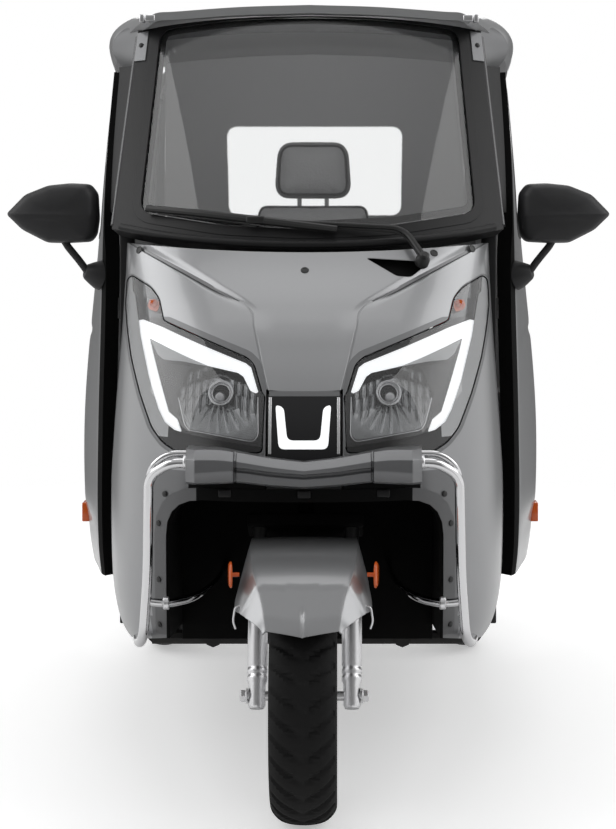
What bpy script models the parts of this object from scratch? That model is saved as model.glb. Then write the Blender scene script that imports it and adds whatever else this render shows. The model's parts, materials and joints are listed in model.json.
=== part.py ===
"""Three-wheel electric scooter with an enclosed cabin, in metres, +Z up, facing -Y.

Heights are above the ground. Distances along the vehicle are written from the
front axle, positive to the rear, and are moved to the middle of its length
when a piece is finished.
"""

import math
from collections import namedtuple

import bmesh
import bpy
from mathutils import Matrix, Vector

# Main sizes
LENGTH = 2.27
WHEELBASE = 1.55
WHEEL_RADIUS = 0.236
FRONT_AXLE_Y = WHEEL_RADIUS - LENGTH / 2
REAR_END = LENGTH - WHEEL_RADIUS
SIDES = (("left", 1.0), ("right", -1.0))
SEAT_GAP = 0.0004
INSIDE = Vector((0.0, 0.95, 0.85))

# Wheels
FRONT_TYRE_WIDTH = 0.124
REAR_TYRE_WIDTH = 0.100
RIM_RADIUS = 0.156
RIM_WIDTH_SHARE = 0.72
HUB_RADIUS = 0.034
DISC_RADIUS = 0.105
DISC_X = 0.047
DISC_WALL = 0.004
RIM_WINDOWS = 5
WHEEL_STEPS = 28
REAR_TRACK = 0.81
AXLE_RADIUS = 0.009

# Steering
RAKE = math.radians(24.0)
AXIS_OFFSET = 0.045
FORK_X = 0.0907
LOWER_RADIUS = 0.0195
UPPER_RADIUS = 0.0145
STEM_RADIUS = 0.016
BAR = ((0.0, 0.470, 0.965), (0.10, 0.480, 0.970), (0.15, 0.535, 0.995), (0.27, 0.565, 1.000))
BAR_RADIUS = 0.0125

# Front fender: sections round the wheel, angles from straight up, front negative
FenderRow = namedtuple("FenderRow", "angle radius half_width drop")
FENDER = (
    FenderRow(-53.0, 0.292, 0.066, 0.010),
    FenderRow(-40.0, 0.294, 0.104, 0.045),
    FenderRow(-27.0, 0.296, 0.126, 0.080),
    FenderRow(-10.0, 0.300, 0.122, 0.075),
    FenderRow(10.0, 0.300, 0.117, 0.065),
    FenderRow(35.0, 0.296, 0.108, 0.050),
    FenderRow(62.0, 0.290, 0.090, 0.035),
)
CROWN_Z = 0.530

# Nose surface: half width and front end at each height
NoseRow = namedtuple("NoseRow", "z half_width front")
NOSE = (
    NoseRow(0.270, 0.350, 0.020),
    NoseRow(0.310, 0.384, -0.005),
    NoseRow(0.360, 0.400, -0.020),
    NoseRow(0.430, 0.408, -0.033),
    NoseRow(0.600, 0.410, -0.045),
    NoseRow(0.700, 0.405, -0.040),
    NoseRow(0.810, 0.398, 0.000),
    NoseRow(0.900, 0.392, 0.070),
    NoseRow(0.975, 0.388, 0.140),
    NoseRow(1.050, 0.385, 0.215),
    NoseRow(1.110, 0.383, 0.270),
)
NOSE_REAR = 0.420
NOSE_POWER = 2.5
NOSE_WALL = 0.014
NOSE_PANEL_X = 0.070
ARCH_HALF_WIDTH = 0.270
ARCH_TOP = 0.612
ARCH_CORNER = 0.040
PANEL_GAP = 0.0035
PANEL_FRONT_RISE = 0.090
PANEL_HEIGHTS = (0.278, 0.32, 0.43, 0.57, 0.70, 0.76, 0.815, 0.87, 0.93, 0.972, 1.014, 1.058, 1.098)

# Hood rows from the cowl to the nose
HoodRow = namedtuple("HoodRow", "half_width edge_z middle_z")
HOOD = (
    HoodRow(0.368, 1.098, 1.080),
    HoodRow(0.280, 1.058, 1.046),
    HoodRow(0.190, 1.014, 1.008),
    HoodRow(0.112, 0.972, 0.971),
    HoodRow(0.098, 0.930, 0.930),
    HoodRow(0.083, 0.870, 0.869),
    HoodRow(0.069, 0.818, 0.816),
)

# Headlamp outline in the front view, left lamp
LAMP = (
    (0.364, 1.034),
    (0.379, 0.985),
    (0.371, 0.930),
    (0.360, 0.880),
    (0.338, 0.820),
    (0.307, 0.757),
    (0.268, 0.715),
    (0.222, 0.698),
    (0.100, 0.724),
    (0.091, 0.742),
    (0.083, 0.812),
    (0.106, 0.868),
    (0.284, 0.948),
    (0.298, 0.994),
)
LAMP_DEPTH = 0.050

# Side surface: distance out at five heights
SideRow = namedtuple("SideRow", "s sill low waist belt head")
SIDE_HEIGHTS = (0.30, 0.45, 0.72, 1.08, 1.48)
SIDE = (
    SideRow(0.44, 0.415, 0.425, 0.425, 0.420, 0.400),
    SideRow(0.50, 0.440, 0.458, 0.458, 0.448, 0.420),
    SideRow(0.75, 0.490, 0.515, 0.519, 0.488, 0.450),
    SideRow(1.00, 0.498, 0.523, 0.525, 0.497, 0.458),
    SideRow(1.25, 0.498, 0.523, 0.524, 0.495, 0.456),
    SideRow(1.50, 0.495, 0.520, 0.518, 0.482, 0.440),
    SideRow(1.75, 0.485, 0.510, 0.505, 0.462, 0.415),
    SideRow(2.00, 0.440, 0.465, 0.460, 0.425, 0.380),
)
DOOR_WALL = 0.032
DOOR_BOTTOM = 0.380
DOOR_TOP = 1.484
DOOR_REAR = 1.225
GLASS = 0.005

# Door front edge at each height
DoorRow = namedtuple("DoorRow", "z front")
DOOR_FRONT = (
    DoorRow(0.380, 0.470),
    DoorRow(0.700, 0.470),
    DoorRow(1.060, 0.470),
    DoorRow(1.200, 0.520),
    DoorRow(1.340, 0.595),
    DoorRow(1.484, 0.680),
)
DOOR_WINDOW = (
    (0.585, 1.120),
    (1.165, 1.120),
    (1.165, 1.445),
    (0.745, 1.445),
)

# Door hinges, on an upright line ahead of the door
HINGE_X = 0.402
HINGE_S = 0.458
HINGE_Z = 0.720
KNUCKLES = (0.500, 0.950)
KNUCKLE_LENGTH = 0.030
KNUCKLE_RADIUS = 0.0075
POST_FRONT = 0.4326
POST_REAR = 0.4495
POST_TOP = 1.1376

# Door mirror outline in the front view, and its depths
MIRROR = (
    (0.653, 1.160), (0.612, 1.202), (0.562, 1.222), (0.513, 1.227), (0.472, 1.225), (0.456, 1.205),
    (0.453, 1.150), (0.458, 1.115), (0.470, 1.100), (0.520, 1.097), (0.563, 1.098), (0.618, 1.126),
)
MIRROR_DEPTHS = ((0.432, 0.45), (0.440, 0.78), (0.456, 0.97), (0.476, 1.0), (0.502, 1.0))

# Windscreen surface
SCREEN_HALF_BOTTOM = 0.415
SCREEN_HALF_TOP = 0.385
SCREEN_MIDDLE = ((0.262, 1.086), (0.578, 1.599))
SCREEN_EDGE = ((0.396, 1.128), (0.640, 1.573))
FRAME_WALL = 0.030
GLASS_SHARE = 0.862
GLASS_LOW = 0.100
GLASS_HIGH = 0.968

# Roof sections
RoofRow = namedtuple("RoofRow", "s crown flat_x flat_z ear_x ear_z hem_x hem_z")
ROOF = (
    RoofRow(0.568, 1.630, 0.300, 1.616, 0.358, 1.606, 0.366, 1.596),
    RoofRow(0.680, 1.640, 0.340, 1.622, 0.405, 1.600, 0.410, 1.570),
    RoofRow(0.820, 1.647, 0.390, 1.628, 0.465, 1.580, 0.455, 1.520),
    RoofRow(1.000, 1.650, 0.420, 1.630, 0.490, 1.565, 0.474, 1.498),
    RoofRow(1.250, 1.650, 0.420, 1.628, 0.488, 1.563, 0.472, 1.494),
    RoofRow(1.420, 1.638, 0.405, 1.610, 0.468, 1.556, 0.456, 1.496),
    RoofRow(1.500, 1.612, 0.385, 1.588, 0.438, 1.548, 0.432, 1.504),
)
ROOF_WALL = 0.018

# Rear quarter: where the side ends and where its shoulder meets the deck
QuarterRow = namedtuple("QuarterRow", "s top inner_x inner_z")
QUARTER = (
    QuarterRow(1.233, 1.486, 0.425, 1.500),
    QuarterRow(1.320, 1.486, 0.420, 1.500),
    QuarterRow(1.420, 1.486, 0.412, 1.500),
    QuarterRow(1.5008, 1.482, 0.404, 1.498),
    QuarterRow(1.508, 1.488, 0.402, 1.555),
    QuarterRow(1.530, 1.460, 0.404, 1.505),
    QuarterRow(1.570, 1.335, 0.409, 1.380),
    QuarterRow(1.610, 1.210, 0.414, 1.253),
    QuarterRow(1.645, 1.112, 0.416, 1.142),
    QuarterRow(1.668, 1.088, 0.400, 1.108),
    QuarterRow(1.690, 1.078, 0.345, 1.094),
    QuarterRow(1.800, 1.062, 0.341, 1.082),
    QuarterRow(1.900, 1.030, 0.341, 1.056),
    QuarterRow(1.9628, 0.985, 0.341, 1.010),
)
QUARTER_WALL = 0.024
QUARTER_BOTTOM = 0.330
REAR_ARCH_RADIUS = 0.285

# Bumper beam: lower and upper edge and front face at each distance from the middle
BeamRow = namedtuple("BeamRow", "x low high front")
BEAM = (
    BeamRow(0.000, 0.636, 0.682, -0.092),
    BeamRow(0.060, 0.636, 0.690, -0.093),
    BeamRow(0.122, 0.636, 0.701, -0.093),
    BeamRow(0.130, 0.634, 0.714, -0.108),
    BeamRow(0.195, 0.638, 0.717, -0.102),
    BeamRow(0.213, 0.648, 0.708, -0.092),
)
BEAM_EDGE = 0.010

# Rear window frame and glass
BACK_TOP = (1.5006, 1.605)
BACK_BOTTOM = (1.668, 1.112)
BACK_HALF = 0.3745
BACK_LIP_HALF = 0.318
BACK_LIP = (1.685, 1.104)
BACK_BOW = 0.012
BACK_WALL = 0.020
REAR_WINDOW = ((-0.239, 1.167), (0.239, 1.167), (0.239, 1.409), (-0.239, 1.409))

# Boot lid profile, front edge to bottom edge
LID = ((1.690, 1.100), (1.800, 1.088), (1.900, 1.062), (1.960, 1.015), (1.992, 0.940), (2.004, 0.800), (2.006, 0.652))
LID_HINGE = (1.6875, 1.1095)
LID_HALF = 0.335
LID_WALL = 0.014
TAIL_BOTTOM = 0.360
TAIL_TOP = 0.644

# Underside
RAIL_X = 0.200
RAIL_RADIUS = 0.019
RAIL_Z = 0.262
RAIL_REAR_Z = 0.425
FRAME_FRONT = 0.405
FLOOR_Z = RAIL_Z + RAIL_RADIUS + SEAT_GAP
FLOOR_WALL = 0.008
SILL_WALL = 0.030
LINER_REAR = 0.350
SPRING_TOP_S = 1.570
STEM_GAP = 0.0006
GUARD_RADIUS = 0.0095
HOOP_RADIUS = 0.0065

ORIGIN = Vector((0.0, 0.0, 0.0))


for old in list(bpy.data.objects):
    bpy.data.objects.remove(old, do_unlink=True)


def finish(name, colour, roughness, metallic=0.0, alpha=1.0):
    """A material with plain values."""
    made = bpy.data.materials.new(name)
    made.use_nodes = True
    shader = made.node_tree.nodes["Principled BSDF"]
    shader.inputs["Base Color"].default_value = (*colour, 1.0)
    shader.inputs["Roughness"].default_value = roughness
    shader.inputs["Metallic"].default_value = metallic
    shader.inputs["Alpha"].default_value = alpha
    return made


SILVER = ((0.36, 0.36, 0.37), 0.30, 0.6)
BLACK = ((0.025, 0.025, 0.027), 0.45)
GREY = ((0.15, 0.15, 0.155), 0.45, 0.3)
CHROME = ((0.75, 0.75, 0.76), 0.12, 1.0)
ALUMINIUM = ((0.55, 0.55, 0.56), 0.35, 1.0)
RUBBER = ((0.02, 0.02, 0.02), 0.85)
GLAZING = ((0.12, 0.13, 0.13), 0.05, 0.0, 0.45)
LENS = ((0.75, 0.76, 0.78), 0.08, 0.1)
RED = ((0.45, 0.02, 0.02), 0.2)
STEEL = ((0.06, 0.06, 0.065), 0.5, 0.5)
FABRIC = ((0.05, 0.05, 0.055), 0.8)


def piece(name, bm, look, origin=ORIGIN):
    """A finished piece, with its origin at a point given from the front axle."""
    bmesh.ops.recalc_face_normals(bm, faces=bm.faces)
    bmesh.ops.translate(bm, vec=-origin, verts=bm.verts)
    mesh = bpy.data.meshes.new(name)
    bm.to_mesh(mesh)
    bm.free()
    made = bpy.data.objects.new(name, mesh)
    made.location = origin + Vector((0.0, FRONT_AXLE_Y, 0.0))
    made.data.materials.append(finish(name, *look))
    made.data.shade_smooth()
    made.data.set_sharp_from_angle(angle=math.radians(35.0))
    bpy.context.collection.objects.link(made)
    return made


def change(made, bm, operation, name):
    """Cut, join or keep the shared part of a piece and a hidden shape."""
    tool = piece(f"{made.name}.{name}", bm, BLACK)
    tool.hide_render = True
    tool.display_type = "WIRE"
    step = made.modifiers.new(name, "BOOLEAN")
    step.operation = operation
    step.solver = "EXACT"
    step.object = tool
    return made


def smooth(xs, ys, x):
    """Value at x of a smooth curve through the given points."""
    if x <= xs[0]:
        return ys[0]
    if x >= xs[-1]:
        return ys[-1]
    i = max(k for k in range(len(xs) - 1) if xs[k] <= x)
    slopes = []
    for k in (i, i + 1):
        low, high = max(k - 1, 0), min(k + 1, len(xs) - 1)
        slopes.append((ys[high] - ys[low]) / (xs[high] - xs[low]))
    span = xs[i + 1] - xs[i]
    t = (x - xs[i]) / span
    return (
        (2 * t**3 - 3 * t**2 + 1) * ys[i]
        + (t**3 - 2 * t**2 + t) * span * slopes[0]
        + (3 * t**2 - 2 * t**3) * ys[i + 1]
        + (t**3 - t**2) * span * slopes[1]
    )


def spread(first, last, count):
    """Evenly spaced numbers, ends included."""
    return [first + (last - first) * k / (count - 1) for k in range(count)]


def slab(rows, wall, depth=0.0, normal_at=None):
    """A closed panel: a grid of outer points, sunk by depth and given a wall."""
    height, width = len(rows), len(rows[0])
    normals = []
    for r in range(height):
        line = []
        for c in range(width):
            along = rows[r][min(c + 1, width - 1)] - rows[r][max(c - 1, 0)]
            across = rows[min(r + 1, height - 1)][c] - rows[max(r - 1, 0)][c]
            normal = along.cross(across).normalized()
            if normal.dot(rows[r][c] - INSIDE) < 0:
                normal.negate()
            if normal_at:
                normal = normal_at(rows[r][c])
            line.append(normal)
        normals.append(line)
    bm = bmesh.new()
    layers = []
    for sunk in (depth, depth + wall):
        layers.append(
            [[bm.verts.new(rows[r][c] - normals[r][c] * sunk) for c in range(width)] for r in range(height)]
        )
    for layer in layers:
        for r in range(height - 1):
            for c in range(width - 1):
                bm.faces.new((layer[r][c], layer[r][c + 1], layer[r + 1][c + 1], layer[r + 1][c]))
    rim = [(0, c) for c in range(width)]
    rim += [(r, width - 1) for r in range(1, height)]
    rim += [(height - 1, c) for c in range(width - 2, -1, -1)]
    rim += [(r, 0) for r in range(height - 2, 0, -1)]
    for a, b in zip(rim, rim[1:] + rim[:1]):
        bm.faces.new(
            (layers[0][a[0]][a[1]], layers[0][b[0]][b[1]], layers[1][b[0]][b[1]], layers[1][a[0]][a[1]])
        )
    return bm


def box(x0, x1, s0, s1, z0, z1, edge=0.0):
    """A block between given planes, with its edges rounded."""
    bm = bmesh.new()
    bmesh.ops.create_cube(bm, size=1.0)
    bmesh.ops.scale(bm, vec=(x1 - x0, s1 - s0, z1 - z0), verts=bm.verts)
    bmesh.ops.translate(bm, vec=((x0 + x1) / 2, (s0 + s1) / 2, (z0 + z1) / 2), verts=bm.verts)
    if edge:
        bmesh.ops.bevel(
            bm, geom=bm.edges, offset=edge, offset_type="OFFSET", segments=2, profile=0.5,
            affect="EDGES", material=-1,
        )
    return bm


def mirrored(points, side):
    return [(side * x, s, z) for x, s, z in points]


def lofted(rings):
    """A closed body through rings of points, capped at both ends."""
    bm = bmesh.new()
    made = [[bm.verts.new(p) for p in ring] for ring in rings]
    for a, b in zip(made, made[1:]):
        for k in range(len(a)):
            n = (k + 1) % len(a)
            bm.faces.new((a[k], a[n], b[n], b[k]))
    bm.faces.new(made[0])
    bm.faces.new(made[-1])
    return bm


def rod(start, end, radius, sides=14, end_radius=None):
    """A round bar between two points."""
    start, end = Vector(start), Vector(end)
    way = end - start
    bm = bmesh.new()
    bmesh.ops.create_cone(
        bm, cap_ends=True, segments=sides, radius1=radius,
        radius2=radius if end_radius is None else end_radius, depth=way.length,
        matrix=Matrix.Translation((start + end) / 2) @ way.to_track_quat("Z", "Y").to_matrix().to_4x4(),
    )
    return bm


def tube(points, radius, sides=10):
    """A bent round bar through the given points."""
    points = [Vector(p) for p in points]
    bm = bmesh.new()
    rings = []
    up = Vector((1.0, 0.0, 0.0))
    for i, point in enumerate(points):
        way = (points[min(i + 1, len(points) - 1)] - points[max(i - 1, 0)]).normalized()
        side = way.cross(up)
        if side.length < 0.1:
            side = way.cross(Vector((0.0, 0.0, 1.0)))
        side.normalize()
        up = side.cross(way).normalized()
        rings.append(
            [
                bm.verts.new(
                    point
                    + radius
                    * (math.cos(2 * math.pi * k / sides) * side + math.sin(2 * math.pi * k / sides) * up)
                )
                for k in range(sides)
            ]
        )
    for a, b in zip(rings, rings[1:]):
        for k in range(sides):
            bm.faces.new((a[k], a[(k + 1) % sides], b[(k + 1) % sides], b[k]))
    bm.faces.new(rings[0])
    bm.faces.new(rings[-1])
    return bm


def bend(points, radius, steps=5):
    """The same path with its inner corners rounded."""
    points = [Vector(p) for p in points]
    path = [points[0]]
    for before, corner, after in zip(points, points[1:], points[2:]):
        reach = min(radius, (before - corner).length / 2, (after - corner).length / 2)
        start = corner + (before - corner).normalized() * reach
        end = corner + (after - corner).normalized() * reach
        for t in spread(0.0, 1.0, steps):
            path.append((1 - t) ** 2 * start + 2 * t * (1 - t) * corner + t**2 * end)
    path.append(points[-1])
    return path


def rounded(corners, radius, steps=5):
    """A closed outline with rounded corners."""
    count = len(corners)
    outline = []
    for i, corner in enumerate(corners):
        corner = Vector(corner)
        before, after = Vector(corners[i - 1]), Vector(corners[(i + 1) % count])
        reach = min(radius, (before - corner).length * 0.45, (after - corner).length * 0.45)
        start = corner + (before - corner).normalized() * reach
        end = corner + (after - corner).normalized() * reach
        for t in spread(0.0, 1.0, steps):
            outline.append((1 - t) ** 2 * start + 2 * t * (1 - t) * corner + t**2 * end)
    return outline


def inset(outline, by):
    """An outline moved inward by a distance."""
    points = [Vector(p) for p in outline]
    count = len(points)
    area = sum(points[i - 1].cross(points[i]) for i in range(count))
    turn = 1.0 if area > 0 else -1.0
    moved = []
    for i, point in enumerate(points):
        first = (point - points[i - 1]).normalized()
        second = (points[(i + 1) % count] - point).normalized()
        inward = Vector((-first.y - second.y, first.x + second.x)) * turn
        share = max(inward.length / 2, 0.4)
        moved.append(point + inward.normalized() * by / share)
    return moved


def prism(outline, axis, low, high):
    """An outline carried straight along X or Y."""
    bm = bmesh.new()
    if axis == "X":
        ends = [[bm.verts.new((at, p[0], p[1])) for p in outline] for at in (low, high)]
    else:
        ends = [[bm.verts.new((p[0], at, p[1])) for p in outline] for at in (low, high)]
    bm.faces.new(ends[0])
    bm.faces.new(ends[1])
    for k in range(len(outline)):
        n = (k + 1) % len(outline)
        bm.faces.new((ends[0][k], ends[0][n], ends[1][n], ends[1][k]))
    return bm


def turned(profile, centre, steps):
    """A closed outline of (x, radius) points turned about a line along X."""
    bm = bmesh.new()
    ring = [bm.verts.new((x, 0.0, radius)) for x, radius in profile]
    edges = [bm.edges.new((ring[k - 1], ring[k])) for k in range(len(ring))]
    bmesh.ops.spin(
        bm, geom=ring + edges, cent=(0, 0, 0), axis=(1, 0, 0), angle=2 * math.pi, steps=steps,
        use_merge=True,
    )
    bmesh.ops.translate(bm, vec=centre, verts=bm.verts)
    return bm


def nose_row(z):
    heights = [row.z for row in NOSE]
    half = smooth(heights, [row.half_width for row in NOSE], z)
    return half, smooth(heights, [row.front for row in NOSE], z)


def nose_point(x, z):
    """The point of the nose surface seen at x and z from the front."""
    half, front = nose_row(z)
    share = min(abs(x) / half, 1.0)
    depth = (1 - share**NOSE_POWER) ** (1 / NOSE_POWER)
    return Vector((x, NOSE_REAR - (NOSE_REAR - front) * depth, z))


def nose_turn(x, z):
    """How far round the nose a point lies, 0 in front and 1 at the side."""
    half, _ = nose_row(z)
    return math.asin(min((abs(x) / half) ** (NOSE_POWER / 2), 1.0)) * 2 / math.pi


def nose_at(turn, z):
    half, _ = nose_row(z)
    return nose_point(half * math.sin(turn * math.pi / 2) ** (2 / NOSE_POWER), z)


def nose_normal(point):
    """The outward direction of the nose surface at one of its points."""
    step = 0.004
    turn = min(max(nose_turn(point.x, point.z), step), 1.0 - step)
    round_it = nose_at(turn + step, point.z) - nose_at(turn - step, point.z)
    up_it = nose_at(turn, point.z + step) - nose_at(turn, point.z - step)
    normal = round_it.cross(up_it).normalized()
    if normal.y > 0:
        normal.negate()
    if point.x < 0:
        normal.x = -normal.x
    return normal


def side_point(s, z, side):
    """The point of the side surface at a distance and a height."""
    marks = [row.s for row in SIDE]
    outs = [smooth(marks, [row[k] for row in SIDE], s) for k in range(1, 6)]
    return Vector((side * smooth(SIDE_HEIGHTS, outs, z), s, z))


def screen_point(u, v):
    """The windscreen surface: u across from -1 to 1, v from bottom to top."""
    half = SCREEN_HALF_BOTTOM + (SCREEN_HALF_TOP - SCREEN_HALF_BOTTOM) * v
    middle = Vector(SCREEN_MIDDLE[0]).lerp(Vector(SCREEN_MIDDLE[1]), v)
    edge = Vector(SCREEN_EDGE[0]).lerp(Vector(SCREEN_EDGE[1]), v)
    place = middle.lerp(edge, abs(u) ** 2.2)
    return Vector((half * u, place.x, place.y))


def steering_point(z, x=0.0, ahead=0.0):
    """A point of the steering line at a height, moved square to the line."""
    s = AXIS_OFFSET + (z - WHEEL_RADIUS) * math.tan(RAKE)
    return Vector((x, s - ahead * math.cos(RAKE), z + ahead * math.sin(RAKE)))


def nose_panels():
    """Hood, front panels, headlamps and the black panel between them."""
    rows = []
    for row in HOOD:
        rows.append(
            [
                nose_point(row.half_width * u, row.middle_z + (row.edge_z - row.middle_z) * u * u)
                for u in spread(-1.0, 1.0, 13)
            ]
        )
    piece("hood", slab(rows, NOSE_WALL, 0.0, nose_normal), SILVER)

    for word, side in SIDES:
        panel = piece(f"front_panel_{word}", front_slab(side, NOSE_WALL, 0.0), SILVER)
        hole = rounded([(side * x, z) for x, z in LAMP], 0.010, 3)
        change(panel, prism(hole, "Y", -0.2, NOSE_REAR - 0.01), "DIFFERENCE", "lamp_hole")
        change(panel, prism(arch_outline(0.0), "Y", -0.3, 0.35), "DIFFERENCE", "arch")

        rows = []
        for z in spread(0.68, 1.05, 8):
            start = nose_turn(0.075, z)
            line = [nose_at(start + (0.985 - start) * k / 8, z) for k in range(9)]
            rows.append([Vector((side * p.x, p.y, p.z)) for p in line])
        lamp = piece(f"headlamp_{word}", slab(rows, LAMP_DEPTH, 0.001, nose_normal), LENS)
        keep = inset(hole, 0.0008)
        change(lamp, prism(keep, "Y", -0.2, NOSE_REAR - 0.02), "INTERSECT", "outline")

    rows = []
    for z in (0.622, 0.70, 0.76, 0.812):
        rows.append([nose_point(NOSE_PANEL_X * u, z) for u in spread(-1.0, 1.0, 7)])
    piece("nose_panel", slab(rows, NOSE_WALL, 0.0, nose_normal), BLACK)


def front_slab(side, wall, depth):
    """The whole skin of a front panel, from the hood and nose panel to its rear edge."""
    hood_z = [row.edge_z for row in reversed(HOOD)]
    hood_x = [row.half_width for row in reversed(HOOD)]
    rows = []
    for z in PANEL_HEIGHTS:
        inner = NOSE_PANEL_X if z < hood_z[0] else smooth(hood_z, hood_x, z)
        rise = PANEL_FRONT_RISE * max(0.0, 1.0 - (z - PANEL_HEIGHTS[0]) / 0.16)
        line = []
        for k in range(10):
            height = z + rise * (1.0 - k / 9)
            start = nose_turn(inner + PANEL_GAP, height)
            line.append(nose_at(start + (0.975 - start) * k / 9, height))
        line.append(Vector((line[-1].x + 0.0005, NOSE_REAR + 0.012, line[-1].z)))
        rows.append([Vector((side * p.x, p.y, p.z)) for p in line])
    return slab(rows, wall, depth, nose_normal)


def arch_outline(by):
    """The wheel arch opening in the front view, moved inward by a distance."""
    x, top = ARCH_HALF_WIDTH - by, ARCH_TOP - by
    return rounded([(-x, 0.1), (x, 0.1), (x, top), (-x, top)], ARCH_CORNER - by)


def front_guards():
    """Bumper beam and the two bars round the front."""
    rings = []
    for row in tuple(BeamRow(-r.x, r.low, r.high, r.front) for r in reversed(BEAM[1:])) + BEAM:
        rear = min(nose_point(row.x, z).y for z in spread(row.low, row.high, 5)) - 0.0002
        edge = BEAM_EDGE
        rings.append(
            [
                Vector((row.x, rear, row.low)), Vector((row.x, row.front + edge, row.low)),
                Vector((row.x, row.front, row.low + edge)), Vector((row.x, row.front + 0.004, row.high - edge)),
                Vector((row.x, row.front + edge, row.high)), Vector((row.x, rear, row.high)),
            ]
        )
    piece("bumper_beam", lofted(rings), GREY)
    for word, side in SIDES:
        path = [
            (0.2134, -0.060, 0.690), (0.250, -0.060, 0.690), (0.300, -0.045, 0.664), (0.310, -0.010, 0.470),
            (0.318, 0.000, 0.350), (0.330, 0.050, 0.325), (0.338, 0.170, 0.322),
        ]
        guard = piece(f"crash_bar_{word}", tube(bend(mirrored(path, side), 0.04, 3), GUARD_RADIUS, 8), CHROME)
        change(guard, front_slab(side, 0.060, -0.0006), "DIFFERENCE", "panel")
        hoop = [
            (0.314, -0.004, 0.400), (0.268, 0.004, 0.396), (0.215, 0.070, 0.396), (0.170, 0.200, 0.430),
            (0.170, 0.3418, 0.430),
        ]
        change(guard, tube(bend(mirrored(hoop, side), 0.05, 3), HOOP_RADIUS, 6), "UNION", "hoop")


def windscreen():
    """The black frame with its pillars and cowl, and the pane in it."""
    rows = [[screen_point(u, v) for u in spread(-1.0, 1.0, 11)] for v in spread(0.0, 1.0, 6)]
    frame = piece("windscreen_frame", slab(rows, FRAME_WALL), BLACK)
    corners = []
    for u, v in (
        (-1, GLASS_LOW), (0, GLASS_LOW - 0.02), (1, GLASS_LOW),
        (1, GLASS_HIGH), (0, GLASS_HIGH + 0.012), (-1, GLASS_HIGH),
    ):
        point = screen_point(GLASS_SHARE * u, v)
        corners.append((point.x, point.z))
    outline = rounded(corners, 0.030, 4)
    change(frame, prism(outline, "Y", 0.1, 0.8), "DIFFERENCE", "opening")
    glass = piece("windscreen", slab(rows, GLASS, 0.004), GLAZING)
    change(glass, prism(inset(outline, 0.0006), "Y", 0.1, 0.8), "INTERSECT", "outline")


def wiper():
    """Blade, arm and pivot, with the pivot standing on the hood."""
    lift = 0.018
    blade = [screen_point(u, v) for u, v in ((-0.82, 0.135), (-0.55, 0.140), (-0.25, 0.125), (0.0, 0.105), (0.15, 0.090))]
    path = [Vector((p.x, p.y - lift, p.z + lift * 0.4)) for p in blade]
    made = piece("wiper", tube(path, 0.006, 6), BLACK)
    pivot = nose_point(0.234, 1.058)
    out = nose_normal(pivot)
    elbow = screen_point(0.48, 0.05) + Vector((0.0, -0.030, 0.010))
    arm = [pivot + out * 0.020, elbow, path[2] + Vector((0.0, -0.004, 0.0))]
    change(made, tube(arm, 0.005, 6), "UNION", "arm")
    change(made, rod(pivot + out * 0.0006, pivot + out * 0.030, 0.014), "UNION", "pivot")


def roof_section(row):
    """Half of a roof section, from the middle to the hem."""
    return [
        (0.0, row.crown), (row.flat_x * 0.5, row.crown - (row.crown - row.flat_z) * 0.3),
        (row.flat_x, row.flat_z), ((row.flat_x + row.ear_x) / 2 + 0.006, (row.flat_z + row.ear_z) / 2 + 0.010),
        (row.ear_x, row.ear_z), (row.hem_x, row.hem_z),
    ]


def roof_height(row, x):
    """Height of a roof section at a distance from the middle."""
    half = roof_section(row)
    for a, b in zip(half, half[1:]):
        if a[0] <= x <= b[0]:
            return a[1] + (b[1] - a[1]) * (x - a[0]) / (b[0] - a[0])
    return row.ear_z


def roof_slab(more):
    """The skin of the roof, grown by a clearance to cut its neighbours."""
    rows = []
    for row in ROOF:
        half = roof_section(row)
        s = row.s + (more if row is ROOF[-1] else 0.0)
        line = [Vector((-x, s, z)) for x, z in reversed(half)] + [Vector((x, s, z)) for x, z in half[1:]]
        rows.append(line)
    return slab(rows, ROOF_WALL + 2 * more, -more)


def doors():
    """Doors with their panes and mirrors, each about its hinge line."""
    heights = [row.z for row in DOOR_FRONT]
    fronts = [row.front for row in DOOR_FRONT]
    for word, side in SIDES:
        hinge = Vector((side * HINGE_X, HINGE_S, HINGE_Z))
        rows = []
        for z in spread(DOOR_BOTTOM, DOOR_TOP, 9):
            front = smooth(heights, fronts, z)
            rows.append([side_point(s, z, side) for s in spread(front, DOOR_REAR, 7)])
        door = piece(f"door_{word}", slab(rows, DOOR_WALL), SILVER, hinge)
        outline = rounded(DOOR_WINDOW, 0.05)
        low, high = sorted((side * 0.30, side * 0.60))
        change(door, prism(outline, "X", low, high), "DIFFERENCE", "window")
        for k, z in enumerate(KNUCKLES):
            low_z = z + KNUCKLE_LENGTH + SEAT_GAP
            spot = Vector((side * HINGE_X, HINGE_S, low_z))
            change(door, rod(spot, spot + Vector((0, 0, KNUCKLE_LENGTH)), KNUCKLE_RADIUS, 10), "UNION", f"knuckle{k}")
            middle = Vector((side * HINGE_X, HINGE_S, low_z + KNUCKLE_LENGTH / 2))
            arm = rod(middle, middle + Vector((side * 0.030, 0.040, 0.0)), 0.006, 8)
            change(door, arm, "UNION", f"arm{k}")
        glass = piece(f"door_glass_{word}", slab(rows, GLASS, 0.012), GLAZING, hinge)
        change(glass, prism(inset(outline, 0.0006), "X", low, high), "INTERSECT", "outline")
        mirror(word, side, hinge, slab(rows, 0.060, -SEAT_GAP))


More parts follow.
